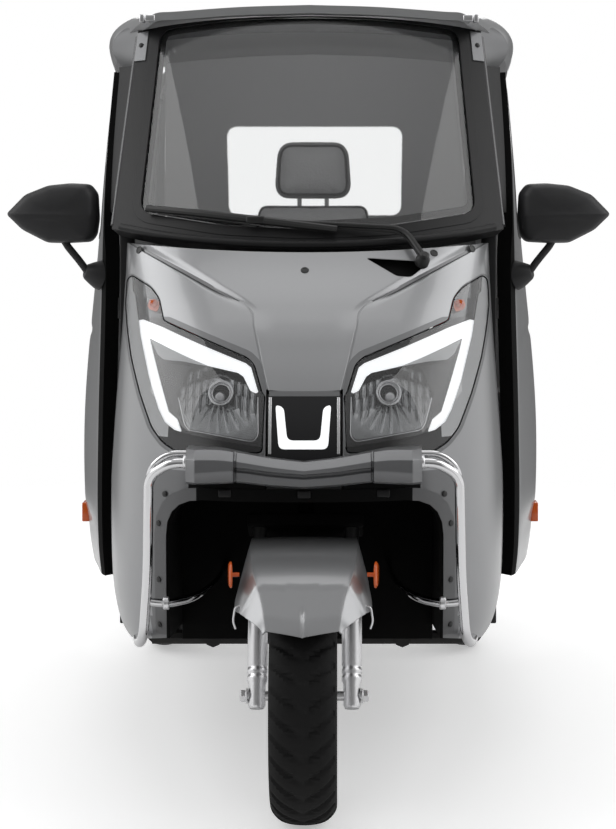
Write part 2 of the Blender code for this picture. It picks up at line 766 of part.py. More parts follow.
def mirror(word, side, hinge, skin):
    """A door mirror: drop-shaped head, stem and cone foot on the door."""
    rings = []
    middle = Vector((0.545, 1.162))
    for s, share in MIRROR_DEPTHS:
        ring = []
        for x, z in MIRROR:
            spot = middle + (Vector((x, z)) - middle) * share
            ring.append(Vector((side * spot.x, s, spot.y)))
        rings.append(ring)
    made = piece(f"mirror_{word}", lofted(rings), BLACK, hinge)
    stem = [(0.528, 0.478, 1.112), (0.520, 0.478, 1.090), (0.494, 0.482, 1.058), (0.480, 0.488, 1.034)]
    change(made, tube(mirrored(stem, side), 0.0085, 8), "UNION", "stem")
    foot = rod(
        (side * 0.425, 0.512, 1.022), (side * 0.484, 0.486, 1.036), 0.036, 12, 0.016,
    )
    change(made, foot, "UNION", "foot")
    change(made, skin, "DIFFERENCE", "skin")


def quarter_slab(side):
    """The skin of a rear quarter, from the sill line up over its shoulder."""
    rows = []
    for row in QUARTER:
        line = [side_point(row.s, z, side) for z in spread(QUARTER_BOTTOM, row.top, 7)]
        edge = abs(line[-1].x)
        line.append(
            Vector((side * (edge + (row.inner_x - edge) * 0.3), row.s, row.top + (row.inner_z - row.top) * 0.7))
        )
        line.append(Vector((side * row.inner_x, row.s, row.inner_z)))
        rows.append(line)
    return slab(rows, QUARTER_WALL)


def rear_body():
    """Quarters, rear window, boot lid, lamps, rear panel and bumper."""
    for word, side in SIDES:
        quarter = piece(f"quarter_{word}", quarter_slab(side), SILVER)
        arch = rod((side * 0.30, WHEELBASE, WHEEL_RADIUS), (side * 0.60, WHEELBASE, WHEEL_RADIUS), REAR_ARCH_RADIUS, 32)
        change(quarter, arch, "DIFFERENCE", "arch")
        lamp = box(side * 0.400 - 0.055, side * 0.400 + 0.055, QUARTER[-1].s + 0.0006, 2.004, 0.655, 0.975, 0.010)
        piece(f"tail_lamp_{word}", lamp, RED)

    rows = []
    for t in spread(0.0, 1.0, 5):
        s = BACK_TOP[0] + (BACK_BOTTOM[0] - BACK_TOP[0]) * t
        z = BACK_TOP[1] + (BACK_BOTTOM[1] - BACK_TOP[1]) * t
        line = []
        for u in spread(-1.0, 1.0, 9):
            sag = (ROOF[-1].crown - roof_height(ROOF[-1], BACK_HALF * abs(u))) * (1 - t)
            line.append(Vector((BACK_HALF * u, s - BACK_BOW * u * u * t, z - sag)))
        rows.append(line)
    rows.append([Vector((BACK_LIP_HALF * u, BACK_LIP[0] - BACK_BOW * u * u, BACK_LIP[1])) for u in spread(-1.0, 1.0, 9)])
    frame = piece("rear_window_frame", slab(rows, BACK_WALL), SILVER)
    change(frame, roof_slab(0.0005), "DIFFERENCE", "roof")
    outline = rounded(REAR_WINDOW, 0.03)
    change(frame, prism(outline, "Y", 1.3, 1.9), "DIFFERENCE", "opening")
    glass = piece("rear_window", slab(rows[:-1], GLASS, 0.006), GLAZING)
    change(glass, prism(inset(outline, 0.0006), "Y", 1.3, 1.9), "INTERSECT", "outline")

    hinge = Vector((0.0, LID_HINGE[0], LID_HINGE[1]))
    rows = [[Vector((LID_HALF * u, s, z - 0.006 * u * u)) for u in spread(-1.0, 1.0, 7)] for s, z in LID]
    lid = piece("boot_lid", slab(rows, LID_WALL), SILVER, hinge)
    for k, x in enumerate((-0.20, 0.20)):
        for made, low, reach, name in ((frame, x - 0.0242, -0.020, "base"), (lid, x + 0.0002, 0.020, "leaf")):
            ends = sorted((LID_HINGE[0], LID_HINGE[0] + reach))
            knuckle = rod((low, *LID_HINGE), (low + 0.024, *LID_HINGE), 0.0045, 10)
            change(made, knuckle, "UNION", f"knuckle{k}")
            bottom = LID_HINGE[1] - 0.016
            change(made, box(low, low + 0.024, *ends, bottom, LID_HINGE[1] + 0.002), "UNION", f"{name}{k}")

    rows = []
    for z in (TAIL_BOTTOM, 0.50, TAIL_TOP):
        rows.append([Vector((0.455 * u, 2.006 - 0.030 * abs(u) ** 4, z)) for u in spread(-1.0, 1.0, 9)])
    piece("rear_panel", slab(rows, 0.014), SILVER)
    bumper = box(-0.34, 0.34, 2.0066, REAR_END, 0.400, 0.480, 0.008)
    piece("rear_bumper", bumper, BLACK)


def under_body():
    """Frame, floor tub, arch liner, boot tub and rear axle."""
    rail = [(RAIL_X, FRAME_FRONT - 0.016, RAIL_Z), (RAIL_X, 1.290, RAIL_Z), (RAIL_X, 1.400, RAIL_REAR_Z), (RAIL_X, 1.960, RAIL_REAR_Z)]
    frame = piece("frame", tube(bend(rail, 0.06, 3), RAIL_RADIUS, 8), STEEL)
    change(frame, tube(bend(mirrored(rail, -1), 0.06, 3), RAIL_RADIUS, 8), "UNION", "rail")
    crosses = ((FRAME_FRONT, RAIL_Z, 0.33), (0.90, RAIL_Z, 0.40), (SPRING_TOP_S, RAIL_REAR_Z, 0.31), (1.90, RAIL_REAR_Z, 0.31))
    for k, (s, z, reach) in enumerate(crosses):
        change(frame, rod((-reach, s, z), (reach, s, z), 0.015, 8), "UNION", f"cross{k}")
    down = [steering_point(0.760), (0.0, 0.380, 0.680), (0.0, 0.380, 0.420), (0.0, FRAME_FRONT, RAIL_Z)]
    change(frame, tube(bend(down, 0.04, 3), 0.018, 8), "UNION", "down")
    change(frame, rod(steering_point(0.670), steering_point(0.850), 0.030, 16), "UNION", "head")
    change(frame, rod(steering_point(0.640), steering_point(0.880), STEM_RADIUS + STEM_GAP, 16), "DIFFERENCE", "bore")

    rows = []
    for s in (0.440, 0.52, 0.62, 0.75, 1.00, 1.231):
        edge = side_point(s, SIDE_HEIGHTS[0], 1.0).x - SILL_WALL * 0.6
        rows.append([Vector((edge * u, s, FLOOR_Z)) for u in (-1.0, 1.0)])
    floor = piece("floor_tub", slab(rows, FLOOR_WALL), BLACK)
    rows = [[Vector((x, s, z)) for x in (-0.385, 0.385)] for s, z in ((0.452, FLOOR_Z + 0.0045), (0.442, 0.45), (0.438, 0.62), (0.452, 0.78))]
    change(floor, slab(rows, FLOOR_WALL, -FLOOR_WALL), "UNION", "toe_board")
    for k, (word, side) in enumerate(SIDES):
        rows = []
        for z in (FLOOR_Z - 0.001, 0.330, 0.374):
            rows.append([side_point(s, z, side) for s in (0.441, 0.50, 0.58, 0.70, 0.90, 1.10, 1.2326)])
        change(floor, slab(rows, SILL_WALL), "UNION", f"sill_{word}")
        low, high = sorted((side * 0.3704, side * 0.4024))
        change(floor, box(low, high, POST_FRONT, POST_REAR, FLOOR_Z + 0.003, POST_TOP), "UNION", f"post_{word}")
        for n, z in enumerate(KNUCKLES):
            spot = Vector((side * HINGE_X, HINGE_S, z))
            change(floor, rod(spot, spot + Vector((0, 0, KNUCKLE_LENGTH)), KNUCKLE_RADIUS, 10), "UNION", f"knuckle_{word}{n}")
            low, high = sorted((side * (HINGE_X - 0.006), side * (HINGE_X + 0.006)))
            change(floor, box(low, high, POST_REAR - 0.004, HINGE_S, z + 0.002, z + 0.026), "UNION", f"arm_{word}{n}")

    liner = piece("arch_liner", prism(arch_outline(0.0006), "Y", 0.038, LINER_REAR), BLACK)
    change(liner, prism(arch_outline(0.0080), "Y", 0.0, LINER_REAR - 0.007), "DIFFERENCE", "hollow")
    change(liner, box(-0.5, 0.5, -0.1, 0.6, 0.05, 0.300), "DIFFERENCE", "bottom")
    change(liner, rod(steering_point(0.50), steering_point(0.75), 0.045, 16), "DIFFERENCE", "hole")

    floor_z = RAIL_REAR_Z + RAIL_RADIUS + SEAT_GAP
    tub = piece("boot_tub", box(-0.333, 0.333, 1.300, 1.9505, floor_z, 0.800), BLACK)
    change(tub, box(-0.325, 0.325, 1.308, 1.943, floor_z + FLOOR_WALL, 0.900), "DIFFERENCE", "hollow")

    axle = piece("rear_axle", rod((-0.330, WHEELBASE, WHEEL_RADIUS), (0.330, WHEELBASE, WHEEL_RADIUS), 0.026, 14), STEEL)
    change(axle, rod((-0.085, WHEELBASE, WHEEL_RADIUS), (0.085, WHEELBASE, WHEEL_RADIUS), 0.100, 20), "UNION", "motor")
    for k, side in enumerate((-1.0, 1.0)):
        spring = rod(
            (side * 0.290, WHEELBASE, WHEEL_RADIUS), (side * 0.290, SPRING_TOP_S, RAIL_REAR_Z - 0.0155), 0.028, 12,
        )
        change(axle, spring, "UNION", f"spring{k}")
        stub = rod(
            (side * 0.325, WHEELBASE, WHEEL_RADIUS), (side * (REAR_TRACK / 2 + 0.028), WHEELBASE, WHEEL_RADIUS),
            AXLE_RADIUS, 12,
        )
        change(axle, stub, "UNION", f"stub{k}")


def cabin():
    """Dashboard, seat and battery."""
    top = FLOOR_Z + FLOOR_WALL + SEAT_GAP
    piece("dashboard", box(-0.378, 0.378, 0.4006, 0.4322, 0.865, 0.900, 0.006), BLACK)
    base = piece("seat_base", box(-0.270, 0.270, 0.900, 1.228, top, 0.600), BLACK)
    change(base, box(-0.262, 0.262, 0.908, 1.220, 0.200, 0.592), "DIFFERENCE", "hollow")
    piece("battery", box(-0.220, 0.220, 0.930, 1.205, top, 0.520), STEEL)
    piece("seat_cushion", box(-0.240, 0.240, 0.850, 1.250, 0.6004, 0.700, 0.030), FABRIC)
    rows = []
    for z, half, s in ((0.7055, 0.220, 1.175), (0.800, 0.225, 1.185), (0.950, 0.205, 1.200), (1.080, 0.170, 1.215), (1.165, 0.142, 1.225)):
        rows.append([Vector((half * u, s, z)) for u in spread(-1.0, 1.0, 5)])
    piece("seat_back", slab(rows, 0.060, -0.060), FABRIC)
    rest = piece("headrest", box(-0.102, 0.102, 1.205, 1.285, 1.205, 1.350, 0.025), FABRIC)
    for k, x in enumerate((-0.035, 0.035)):
        change(rest, rod((x, 1.250, 1.1632), (x, 1.250, 1.230), 0.006, 8), "UNION", f"post{k}")


def wheel(name, side_x, s, width, origin, disc=False):
    """A tyre and a rim with its hub, both about the same axle."""
    w = width / 2
    tyre = [
        (-w * 0.66, RIM_RADIUS + SEAT_GAP), (-w, RIM_RADIUS + 0.034), (-w * 0.95, WHEEL_RADIUS - 0.024),
        (-w * 0.62, WHEEL_RADIUS - 0.006), (0.0, WHEEL_RADIUS), (w * 0.62, WHEEL_RADIUS - 0.006),
        (w * 0.95, WHEEL_RADIUS - 0.024), (w, RIM_RADIUS + 0.034), (w * 0.66, RIM_RADIUS + SEAT_GAP),
    ]
    centre = Vector((side_x, s, WHEEL_RADIUS))
    piece(f"{name}_tyre", turned(tyre, centre, WHEEL_STEPS), RUBBER, origin)
    b = w * RIM_WIDTH_SHARE
    bore = AXLE_RADIUS + SEAT_GAP
    rim = [
        (-b, RIM_RADIUS), (-b, RIM_RADIUS - 0.012), (-0.011, RIM_RADIUS - 0.024), (-0.011, HUB_RADIUS),
        (-0.030, HUB_RADIUS), (-0.030, bore),
    ]
    if disc:
        far = DISC_X + DISC_WALL
        rim += [(far, bore), (far, DISC_RADIUS), (DISC_X, DISC_RADIUS), (DISC_X, HUB_RADIUS)]
    else:
        rim += [(0.030, bore), (0.030, HUB_RADIUS)]
    rim += [(0.011, HUB_RADIUS), (0.011, RIM_RADIUS - 0.024), (b, RIM_RADIUS - 0.012), (b, RIM_RADIUS)]
    made = piece(f"{name}_rim", turned(rim, centre, WHEEL_STEPS), ALUMINIUM, origin)
    for k in range(RIM_WINDOWS):
        turn = Matrix.Rotation(2 * math.pi * k / RIM_WINDOWS, 4, "X")
        hole = rod((-0.03, 0.0, 0.084), (0.03, 0.0, 0.084), 0.030, 6)
        bmesh.ops.transform(hole, matrix=Matrix.Translation(centre) @ turn, verts=hole.verts)
        change(made, hole, "DIFFERENCE", f"window{k}")


def fender_normal(point):
    """Away from the middle of the front wheel."""
    return Vector((point.x * 0.5, point.y, point.z - WHEEL_RADIUS)).normalized()


def steering():
    origin = steering_point(0.760)
    reach = AXIS_OFFSET * math.cos(RAKE)
    block = box(-0.115, 0.115, -reach - 0.020, 0.026, -0.014, 0.014, 0.006)
    lean = Matrix.Translation(steering_point(CROWN_Z)) @ Matrix.Rotation(-RAKE, 4, "X")
    bmesh.ops.transform(block, matrix=lean, verts=block.verts)
    crown = piece("fork", block, ALUMINIUM, origin)
    change(crown, rod(steering_point(CROWN_Z), steering_point(0.905), STEM_RADIUS, 18), "UNION", "stem")
    for word, side in SIDES:
        foot = Vector((side * FORK_X, 0.0, WHEEL_RADIUS))
        top = steering_point(CROWN_Z, side * FORK_X, reach)
        way = (top - foot).normalized()
        change(crown, rod(foot + way * 0.20, top + way * 0.012, UPPER_RADIUS, 14), "UNION", f"upper_{word}")
        change(crown, rod(foot - way * 0.024, foot + way * 0.225, LOWER_RADIUS, 16), "UNION", f"lower_{word}")
    change(crown, rod((-0.124, 0.0, WHEEL_RADIUS), (0.124, 0.0, WHEEL_RADIUS), AXLE_RADIUS, 12), "UNION", "axle")

    path = [(-x, s, z) for x, s, z in reversed(BAR[1:])] + list(BAR)
    bar = piece("handlebar", tube(bend(path, 0.03, 3), BAR_RADIUS, 8), BLACK, origin)
    riser = [
        steering_point(0.9054), steering_point(0.915), Vector((0.0, 0.425, 0.940)), Vector((0.0, 0.468, 0.964)),
    ]
    change(bar, tube(riser, 0.016, 8), "UNION", "riser")

    rows = []
    for row in FENDER:
        angle = math.radians(row.angle)
        line = []
        for u in spread(-1.0, 1.0, 9):
            radius = row.radius - row.drop * abs(u) ** 2.6
            line.append(Vector((row.half_width * u, row.radius * math.sin(angle), WHEEL_RADIUS + radius * math.cos(angle))))
        rows.append(line)
    fender = piece("front_fender", slab(rows, 0.004, 0.0, fender_normal), SILVER, origin)
    for word, side in SIDES:
        foot = Vector((side * FORK_X, 0.0, WHEEL_RADIUS))
        top = steering_point(CROWN_Z, side * FORK_X, reach)
        change(fender, rod(foot, top, UPPER_RADIUS + SEAT_GAP, 14), "DIFFERENCE", f"leg_{word}")


def wheels():
    wheel("front_wheel", 0.0, 0.0, FRONT_TYRE_WIDTH, Vector((0.0, 0.0, WHEEL_RADIUS)), True)
    for word, side in SIDES:
        x = side * REAR_TRACK / 2
        wheel(f"rear_wheel_{word}", x, WHEELBASE, REAR_TYRE_WIDTH, Vector((x, WHEELBASE, WHEEL_RADIUS)))


nose_panels()
front_guards()
windscreen()
wiper()
piece("roof", roof_slab(0.0), SILVER)
doors()
rear_body()
under_body()
cabin()
steering()
wheels()
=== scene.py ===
"""Looks of the enclosed three-wheel electric scooter: panels, lamps, glass, trim and materials.

Points are (x, s, z) in metres: x to the scooter's left, s behind the front axle and z above
the ground. Each finished piece is moved once into the shared frame, which faces -Y.
"""

from __future__ import annotations

import json
import logging
import math
from dataclasses import dataclass, field
from enum import Enum
from typing import Callable, Iterable, Sequence

import bmesh
import bpy
from mathutils import Matrix, Vector

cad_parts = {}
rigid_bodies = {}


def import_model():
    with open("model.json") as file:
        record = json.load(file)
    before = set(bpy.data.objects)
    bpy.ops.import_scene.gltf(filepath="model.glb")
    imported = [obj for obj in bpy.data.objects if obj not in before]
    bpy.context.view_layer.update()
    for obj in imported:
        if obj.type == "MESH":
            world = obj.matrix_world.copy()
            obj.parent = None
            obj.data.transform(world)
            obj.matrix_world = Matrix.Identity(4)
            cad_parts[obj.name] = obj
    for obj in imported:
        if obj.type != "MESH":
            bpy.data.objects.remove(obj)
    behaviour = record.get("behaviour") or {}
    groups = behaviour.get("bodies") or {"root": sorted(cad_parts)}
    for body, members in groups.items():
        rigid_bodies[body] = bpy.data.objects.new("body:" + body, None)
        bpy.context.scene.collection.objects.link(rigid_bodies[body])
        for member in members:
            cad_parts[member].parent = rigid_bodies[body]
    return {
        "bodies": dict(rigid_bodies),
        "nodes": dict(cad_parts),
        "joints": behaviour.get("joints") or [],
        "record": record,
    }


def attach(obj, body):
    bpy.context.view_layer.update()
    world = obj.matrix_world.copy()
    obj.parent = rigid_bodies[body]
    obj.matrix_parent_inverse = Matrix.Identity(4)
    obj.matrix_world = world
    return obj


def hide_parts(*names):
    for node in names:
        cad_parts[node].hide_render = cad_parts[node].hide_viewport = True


LOG = logging.getLogger("scooter")

Outline = Sequence[Sequence[float]]
Place = Callable[[float, float], Vector]

FRONT_AXLE_Y = -0.899
WHEELBASE = 1.55
WHEEL_RADIUS = 0.236
INSIDE = Vector((0.0, 0.95, 0.85))
CABIN = Vector((0.0, 1.0, 1.2))
RAKE = math.radians(24.0)
AXIS_OFFSET = 0.045
SHARP_ANGLE = math.radians(35.0)
SCREW_HEAD = ((0.0, 0.0), (0.0, 0.006), (0.002, 0.0055), (0.003, 0.003), (0.003, 0.0))
CAMERA_PIXELS, SENSOR = 1887, 36.0
WIDTH, HEIGHT = 616, 829
VANISHING = (338, 232.6)
Corners = tuple[tuple[float, float], ...]


class Side(Enum):
    """Sides of the scooter, as the sign of x."""

    LEFT = 1.0
    RIGHT = -1.0

    @property
    def word(self) -> str:
        """The side's name in piece names."""
        return self.name.lower()

    def piece(self, name: str, form: Form, *settings: object, **named: object) -> Piece:
        """A piece of this side from the left side's form."""
        return Piece(f"{name}_{self.word}", form.to(self), *settings, **named)


class Curve:
    """A smooth curve through given points, flat beyond both ends."""

    def __init__(self, xs: Iterable[float], ys: Iterable[float]) -> None:
        """Keep the points; xs rise."""
        self.xs = tuple(xs)
        self.ys = tuple(ys)

    @classmethod
    def even(cls, ys: Sequence[float]) -> Curve:
        """A curve over 0..1 through evenly spaced values."""
        return cls([k / (len(ys) - 1) for k in range(len(ys))], ys)

    def __call__(self, x: float) -> float:
        """The curve's value at x.

        Args:
            x: Where the curve is read.

        Returns:
            The curve's value there.
        """
        xs, ys = self.xs, self.ys
        if x <= xs[0]:
            return ys[0]
        if x >= xs[-1]:
            return ys[-1]
        i = max(k for k in range(len(xs) - 1) if xs[k] <= x)
        slopes = []
        for k in (i, i + 1):
            low, high = max(k - 1, 0), min(k + 1, len(xs) - 1)
            slopes.append((ys[high] - ys[low]) / (xs[high] - xs[low]))
        span = xs[i + 1] - xs[i]
        t = (x - xs[i]) / span
        return (
            (2 * t**3 - 3 * t**2 + 1) * ys[i]
            + (t**3 - 2 * t**2 + t) * span * slopes[0]
            + (3 * t**2 - 2 * t**3) * ys[i + 1]
            + (t**3 - t**2) * span * slopes[1]
        )


def step(low: float, high: float, x: float) -> float:
    """A smooth rise from 0 at low to 1 at high."""
    t = min(max((x - low) / (high - low), 0.0), 1.0)
    return t * t * (3 - 2 * t)


def columns(rows: Sequence[Sequence[float]]) -> list[tuple[float, ...]]:
    """The columns of a table of rows."""
    return list(zip(*rows))


def curves_of(rows: Sequence[Sequence[float]]) -> list[Curve]:
    """A curve for each later column over the first."""
    first, *others = columns(rows)
    return [Curve(first, values) for values in others]


def rounded(corners: Outline, radius: float, steps: int = 6) -> list[Vector]:
    """A closed outline with rounded corners.

    Args:
        corners: The outline's corners.
        radius: How far a corner is cut back.
        steps: Points at each corner.

    Returns:
        The outline's points.
    """
    outline = []
    for i, given in enumerate(corners):
        corner = Vector(given)
        before, after = Vector(corners[i - 1]), Vector(corners[(i + 1) % len(corners)])
        reach = min(radius, (before - corner).length * 0.45, (after - corner).length * 0.45)
        start = corner + (before - corner).normalized() * reach
        end = corner + (after - corner).normalized() * reach
        for k in range(steps):
            t = k / (steps - 1)
            outline.append((1 - t) ** 2 * start + 2 * t * (1 - t) * corner + t**2 * end)
    return outline


def inset(outline: Outline, by: float) -> list[Vector]:
    """An outline moved inward by a distance.

    Args:
        outline: A closed outline.
        by: The distance; outward if it is negative.

    Returns:
        The moved outline.
    """
    points = [Vector(p) for p in outline]
    count = len(points)
    area = sum(points[i - 1].cross(points[i]) for i in range(count))
    turn = 1.0 if area > 0 else -1.0
    moved = []
    for i, point in enumerate(points):
        first = (point - points[i - 1]).normalized()
        second = (points[(i + 1) % count] - point).normalized()
        inward = Vector((-first.y - second.y, first.x + second.x)) * turn
        moved.append(point + inward.normalized() * by / max(inward.length / 2, 0.4))
    return moved


def bend(points: Sequence[Sequence[float]], radius: float, steps: int = 8) -> list[Vector]:
    """A path in space with its inner corners rounded.

    Args:
        points: The path's corners.
        radius: How far a corner is cut back.
        steps: Points at each corner.

    Returns:
        The path's points.
    """
    path = [Vector(points[0])]
    for a, b, c in zip(points, points[1:], points[2:]):
        before, corner, after = Vector(a), Vector(b), Vector(c)
        reach = min(radius, (before - corner).length / 2, (after - corner).length / 2)
        start = corner + (before - corner).normalized() * reach
        end = corner + (after - corner).normalized() * reach
        for k in range(steps):
            t = k / (steps - 1)
            path.append((1 - t) ** 2 * start + 2 * t * (1 - t) * corner + t**2 * end)
    path.append(Vector(points[-1]))
    return path


def sorted_corners(a: Sequence[float], b: Sequence[float]) -> tuple[list[float], list[float]]:
    """The low and the high corner of the box between two points."""
    return [min(p) for p in zip(a, b)], [max(p) for p in zip(a, b)]


def flipped(points: Sequence[Sequence[float]], side: Side) -> list[tuple[float, ...]]:
    """Points or outline corners with x on the given side."""
    return [(side.value * p[0], *p[1:]) for p in points]


def steering_point(z: float, x: float = 0.0, ahead: float = 0.0) -> Vector:
    """A point of the steering line at a height, moved square to the line."""
    s = AXIS_OFFSET + (z - WHEEL_RADIUS) * math.tan(RAKE)
    return Vector((x, s - ahead * math.cos(RAKE), z + ahead * math.sin(RAKE)))


class Form:
    """A mesh in the making."""

    def __init__(self) -> None:
        """Start with nothing."""
        self.bm = bmesh.new()

    def sheet(self, place: Place, across: int, up: int, closed: bool = False, capped: bool = False) -> Form:
        """Add a grid bent into place.

        Args:
            place: Gives the point for u and v, both 0 to 1.
            across: Faces along u.
            up: Faces along v.
            closed: Whether the ends of u meet.
            capped: Whether open rims are filled.

        Returns:
            This form.
        """
        grid = bmesh.ops.create_grid(self.bm, x_segments=across, y_segments=up, size=0.5)["verts"]
        for vert in grid:
            vert.co = place(round(vert.co.x + 0.5, 6), round(vert.co.y + 0.5, 6))
        if closed:
            bmesh.ops.remove_doubles(self.bm, verts=grid, dist=1e-6)
        if capped:
            bmesh.ops.holes_fill(self.bm, edges=[e for e in self.bm.edges if e.is_boundary])
        return self

    def tube(self, path: Sequence[Vector], radius: float | Callable[[float], float], sides: int = 16) -> Form:
        """Add a round bar along a path; the radius may change from 0 to 1 along it.

        Args:
            path: The bar's middle line.
            radius: The radius, or a function of the share of the path.
            sides: Faces round the bar.

        Returns:
            This form.
        """
        points = [Vector(p) for p in path]
        last = len(points) - 1
        frames = []
        up = Vector((1.0, 0.0, 0.0))
        for i, point in enumerate(points):
            way = (points[min(i + 1, last)] - points[max(i - 1, 0)]).normalized()
            across = way.cross(up)
            if across.length < 0.1:
                across = way.cross(Vector((0.0, 0.0, 1.0)))
            across.normalize()
            up = across.cross(way).normalized()
            frames.append((point, across, up))

        def place(u: float, v: float) -> Vector:
            """A point of the bar's skin.

            Args:
                u: The share of the sheet's first way.
                v: The share of its second way.

            Returns:
                The point.
            """
            point, across, upward = frames[round(v * last)]
            reach = radius(v) if callable(radius) else radius
            turn = 2 * math.pi * u
            return point + (across * math.cos(turn) + upward * math.sin(turn)) * reach

        return self.sheet(place, sides, last, closed=True, capped=True)

    def lathe(
        self, profile: Outline, base: Sequence[float], way: Sequence[float], steps: int = 32,
        ring: bool = False,
    ) -> Form:
        """Add (along, radius) points turned about the line from base along way; a ring closes on itself.

        Args:
            profile: The (along, radius) points.
            base: Where the line starts.
            way: The line's direction.
            steps: Faces round the line.
            ring: Whether the profile closes on itself.

        Returns:
            This form.
        """
        centre, axis = Vector(base), Vector(way).normalized()
        out = axis.orthogonal().normalized()
        made = [self.bm.verts.new(centre + axis * p[0] + out * p[1]) for p in profile]
        pairs = list(zip(made, made[1:])) + ([(made[-1], made[0])] if ring else [])
        edges = [self.bm.edges.new(pair) for pair in pairs]
        bmesh.ops.spin(
            self.bm, geom=made + edges, cent=centre, axis=axis, angle=2 * math.pi, steps=steps,
            use_merge=True,
        )
        bmesh.ops.remove_doubles(self.bm, verts=self.bm.verts, dist=1e-6)
        return self

    def prism(self, outline: Outline, low: float, high: float, axis: str = "Y") -> Form:
        """Add an outline carried straight along X or Y.

        Args:
            outline: The outline across the axis.
            low: Where it starts.
            high: Where it ends.
            axis: The axis's letter.

        Returns:
            This form.
        """
        slot = "XYZ".index(axis)
        corners = []
        for p in outline:
            point = [p[0], p[1]]
            point.insert(slot, low)
            corners.append(self.bm.verts.new(point))
        face = self.bm.faces.new(corners)
        geom = bmesh.ops.extrude_face_region(self.bm, geom=[face])["geom"]
        way = Vector((0.0, 0.0, 0.0))
        way[slot] = high - low
        bmesh.ops.translate(self.bm, vec=way, verts=[g for g in geom if isinstance(g, bmesh.types.BMVert)])
        return self

    def block(self, low: Sequence[float], high: Sequence[float], edge: float = 0.0,
              segments: int = 3) -> Form:
        """Add a block between two corners with rounded edges.

        Args:
            low: One corner.
            high: The opposite corner.
            edge: The edges' radius.
            segments: Faces across an edge.

        Returns:
            This form.
        """
        made = bmesh.ops.create_cube(self.bm, size=1.0)["verts"]
        a, b = Vector(low), Vector(high)
        bmesh.ops.scale(self.bm, vec=b - a, verts=made)
        bmesh.ops.translate(self.bm, vec=(a + b) / 2, verts=made)
        if edge:
            edges = list({e for v in made for e in v.link_edges})
            bmesh.ops.bevel(
                self.bm, geom=edges, offset=edge, offset_type="OFFSET", segments=segments, profile=0.5,
                affect="EDGES", material=-1,
            )
        return self

    def rod(
        self, start: Sequence[float], end: Sequence[float], radius: float, sides: int = 24,
        end_radius: float | None = None, edge: float = 0.0,
    ) -> Form:
        """Add a round bar, straight or tapered, between two points.

        Args:
            start: The first end.
            end: The other end.
            radius: The radius.
            sides: Faces round the bar.
            end_radius: The radius at the other end, if it differs.
            edge: The bevel at both ends.

        Returns:
            This form.
        """
        a, b = Vector(start), Vector(end)
        far = radius if end_radius is None else end_radius
        length = (b - a).length
        profile = [(0.0, 0.0), (0.0, radius - edge), (edge, radius), (length - edge, far),
                   (length, far - edge)]
        return self.lathe([*profile, (length, 0.0)], a, b - a, sides)

    def add(self, other: Form, matrix: Matrix | None = None) -> Form:
        """Add a copy of another form, moved by a matrix.

        Args:
            other: The form to copy.
            matrix: How the copy is moved.

        Returns:
            This form.
        """
        mesh = bpy.data.meshes.new("copy")
        other.bm.to_mesh(mesh)
        if matrix is not None:
            mesh.transform(matrix)
        self.bm.from_mesh(mesh)
        bpy.data.meshes.remove(mesh)
        return self

    def to(self, side: Side) -> Form:
        """Mirror the form where it is for the right side.

        Args:
            side: The side that the form is for.

        Returns:
            This form.
        """
        if side is Side.RIGHT:
            bmesh.ops.scale(self.bm, vec=(-1.0, 1.0, 1.0), verts=self.bm.verts)
            bmesh.ops.reverse_faces(self.bm, faces=self.bm.faces)
        return self

    def mesh(self, name: str, inside: Vector | None = None) -> bpy.types.Mesh:
        """The mesh, moved into the shared frame, with faces turned out.

        Args:
            name: The mesh's name.
            inside: A point behind an open sheet; None for closed forms.

        Returns:
            The new mesh.
        """
        bmesh.ops.recalc_face_normals(self.bm, faces=self.bm.faces)
        if inside is not None:
            self.bm.normal_update()
            sum_out = sum(f.normal.dot(f.calc_center_median() - inside) * f.calc_area()
                          for f in self.bm.faces)
            if sum_out < 0:
                bmesh.ops.reverse_faces(self.bm, faces=self.bm.faces)
        bmesh.ops.translate(self.bm, vec=(0.0, FRONT_AXLE_Y, 0.0), verts=self.bm.verts)
        made = bpy.data.meshes.new(name)
        self.bm.to_mesh(made)
        self.bm.free()
        return made


class Pattern(Enum):
    """Fine relief that a finish shows."""

    PEEL = "peel"
    GRAIN = "grain"
    LEATHER = "leather"
    BRUSHED = "brushed"
    FLUTES = "flutes"
    PRISMS = "prisms"
    RUBBER = "rubber"


